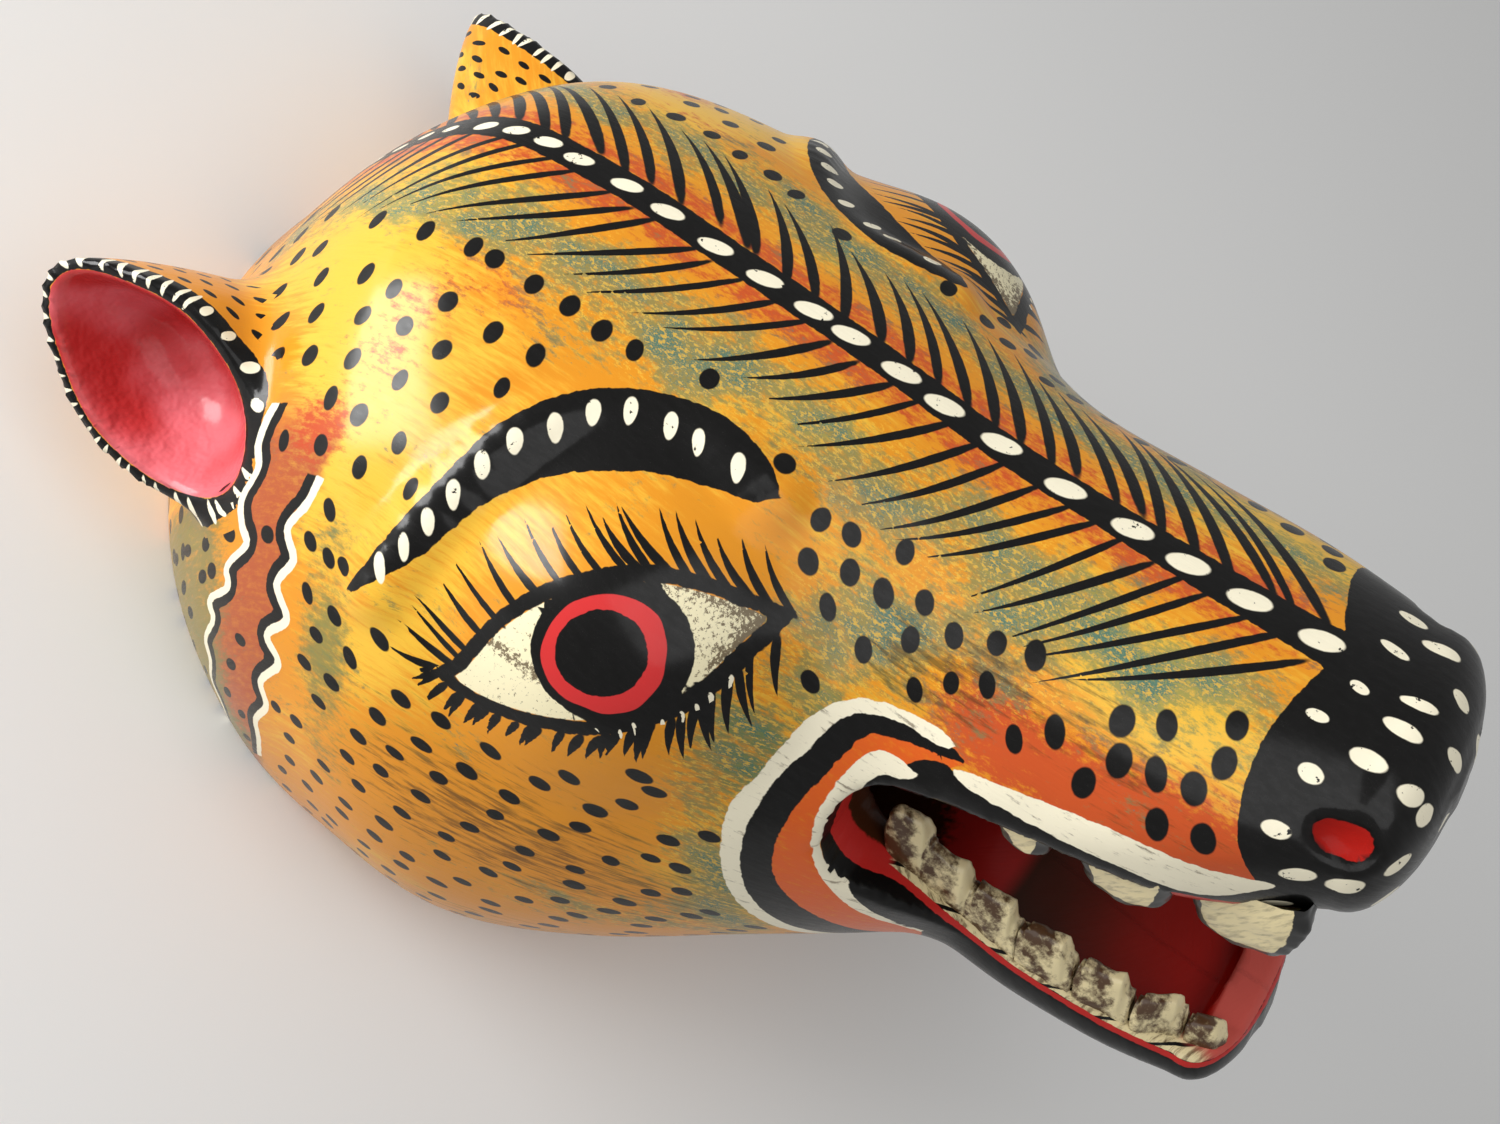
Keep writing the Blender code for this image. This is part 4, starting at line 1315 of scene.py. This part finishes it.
def teeth(name, parts, ring_count, ring_points):
    """Several lofts of teeth as one piece, with each point's paint number."""
    points, faces, edges = [], [], []
    for number, (rings, edge) in enumerate(parts):
        first = sum(len(p) for p in points)
        faces.append(loft_quads(ring_count, ring_points, first))
        points.append(worn(rings, number * 5.3, 7.0, 0.9))
        edges.append(edge)
    piece, _ = surface(name, to_world(np.concatenate(points)), np.concatenate(faces))
    attribute(piece, "tooth", together(np.concatenate(edges), *[np.zeros(len(piece.data.vertices))] * 2))
    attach(piece, "root")
    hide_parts("mask")
    return piece


upper_parts = [upper_tooth(hand, *row) for hand in (-1, 1) for row in UPPER_TEETH]
upper_teeth = teeth("upper_teeth", upper_parts, TOOTH_RINGS, TOOTH_POINTS)
lower_parts = [lower_row(hand) for hand in (-1, 1)]
lower_teeth = teeth("lower_teeth", lower_parts, ROW_RINGS, ROW_POINTS)

GREY_STREAK = rgb(136, 124, 96)

material, shader, brush = new_material("upper tooth paint")
edge, _, _ = brush.layer("tooth")
place = brush.node("ShaderNodeTexCoord", output=3)
streaks = brush.noise(brush.stretched(place, 1.0, 1.0, 0.25), 700.0, 3.0)
wobble = (brush.noise(place, 350.0, 2.0) - 0.5) * 1.4
colour = brush.mixed(OLD_BONE, GREY_STREAK, streaks.step(0.45, 0.75) * 0.7)
colour = colour.under(LAMP_BLACK, (3.4 - edge + wobble).step(-0.15, 0.15))
feed(shader, base_color=colour, roughness=0.45, coat_weight=0.4)
upper_teeth.data.materials.append(material)

material, shader, brush = new_material("lower tooth paint")
ridge_highlight, _, _ = brush.layer("tooth")
place = brush.node("ShaderNodeTexCoord", output=3)
grime = brush.noise(place, 130.0, 5.0, 0.75)
creases = brush.noise(brush.stretched(place, 1.0, 0.4, 1.0), 420.0, 3.0, 0.6)
# Painted highlight on the tops of the teeth and painted shade in the valleys, with random grime and creases.
clean_and_lit = ridge_highlight * 0.7 + (grime - 0.5) * 2.4 + (creases - 0.5) * 1.2
colour = brush.mixed(TOOTH_BROWN, OLD_BONE, clean_and_lit.step(-0.15, 0.5))
feed(shader, base_color=colour, roughness=0.5, coat_weight=0.4)
lower_teeth.data.materials.append(material)

# The studio.
# A pale table that the mask lies on, a soft key light, a weaker fill light and a pale room.

CAMERA_PLACE = (-336.8, 363.4, 326.0)
CAMERA_RIGHT = (0.5216, -0.0518, 0.8516)
CAMERA_UP = (0.5917, 0.7411, -0.3173)
CAMERA_BACK = (-0.6147, 0.6694, 0.4172)
LENS_PIXELS = 1900
IMAGE_WIDTH = 1500
ROOM_LIGHT = 0.38
LAMP_DISTANCE = 1.1
LIGHTS = (("key light", (-0.7, 0.5, 0.5), 0.6, 15), ("fill light", (0.3, 0.05, 0.95), 1.0, 4))

camera = bpy.data.objects.new("camera", bpy.data.cameras.new("camera"))
bpy.context.collection.objects.link(camera)
turned = np.stack([TURN @ axis for axis in (CAMERA_RIGHT, CAMERA_UP, CAMERA_BACK)], axis=1)
camera.matrix_world = Matrix.Translation(to_world(np.array(CAMERA_PLACE)) * MM) @ Matrix(turned).to_4x4()
camera.data.sensor_width = 36
camera.data.lens = camera.data.sensor_width * LENS_PIXELS / IMAGE_WIDTH
bpy.context.scene.camera = camera

floor_mesh = bpy.data.meshes.new("floor")
floor_mesh.from_pydata([(-4, -4, 0), (4, -4, 0), (4, 4, 0), (-4, 4, 0)], [], [(0, 1, 2, 3)])
floor = bpy.data.objects.new("floor", floor_mesh)
bpy.context.collection.objects.link(floor)
material, shader, _ = new_material("pale table")
feed(shader, base_color=(0.86, 0.86, 0.85, 1), roughness=0.8)
floor.data.materials.append(material)

bpy.context.scene.view_settings.view_transform = "Standard"
world = bpy.data.worlds.new("room")
bpy.context.scene.world = world
world.use_nodes = True
world.node_tree.nodes["Background"].inputs["Color"].default_value = (1, 1, 1, 1)
world.node_tree.nodes["Background"].inputs["Strength"].default_value = ROOM_LIGHT

middle = Vector((0, 0, 0.13))
for name, way, size, power in LIGHTS:
    toward = Vector(turned @ np.array(way)).normalized()
    lamp = bpy.data.objects.new(name, bpy.data.lights.new(name, "AREA"))
    bpy.context.collection.objects.link(lamp)
    lamp.location = middle + toward * LAMP_DISTANCE
    lamp.rotation_euler = toward.to_track_quat("Z", "Y").to_euler()
    lamp.data.size = size
    lamp.data.energy = power
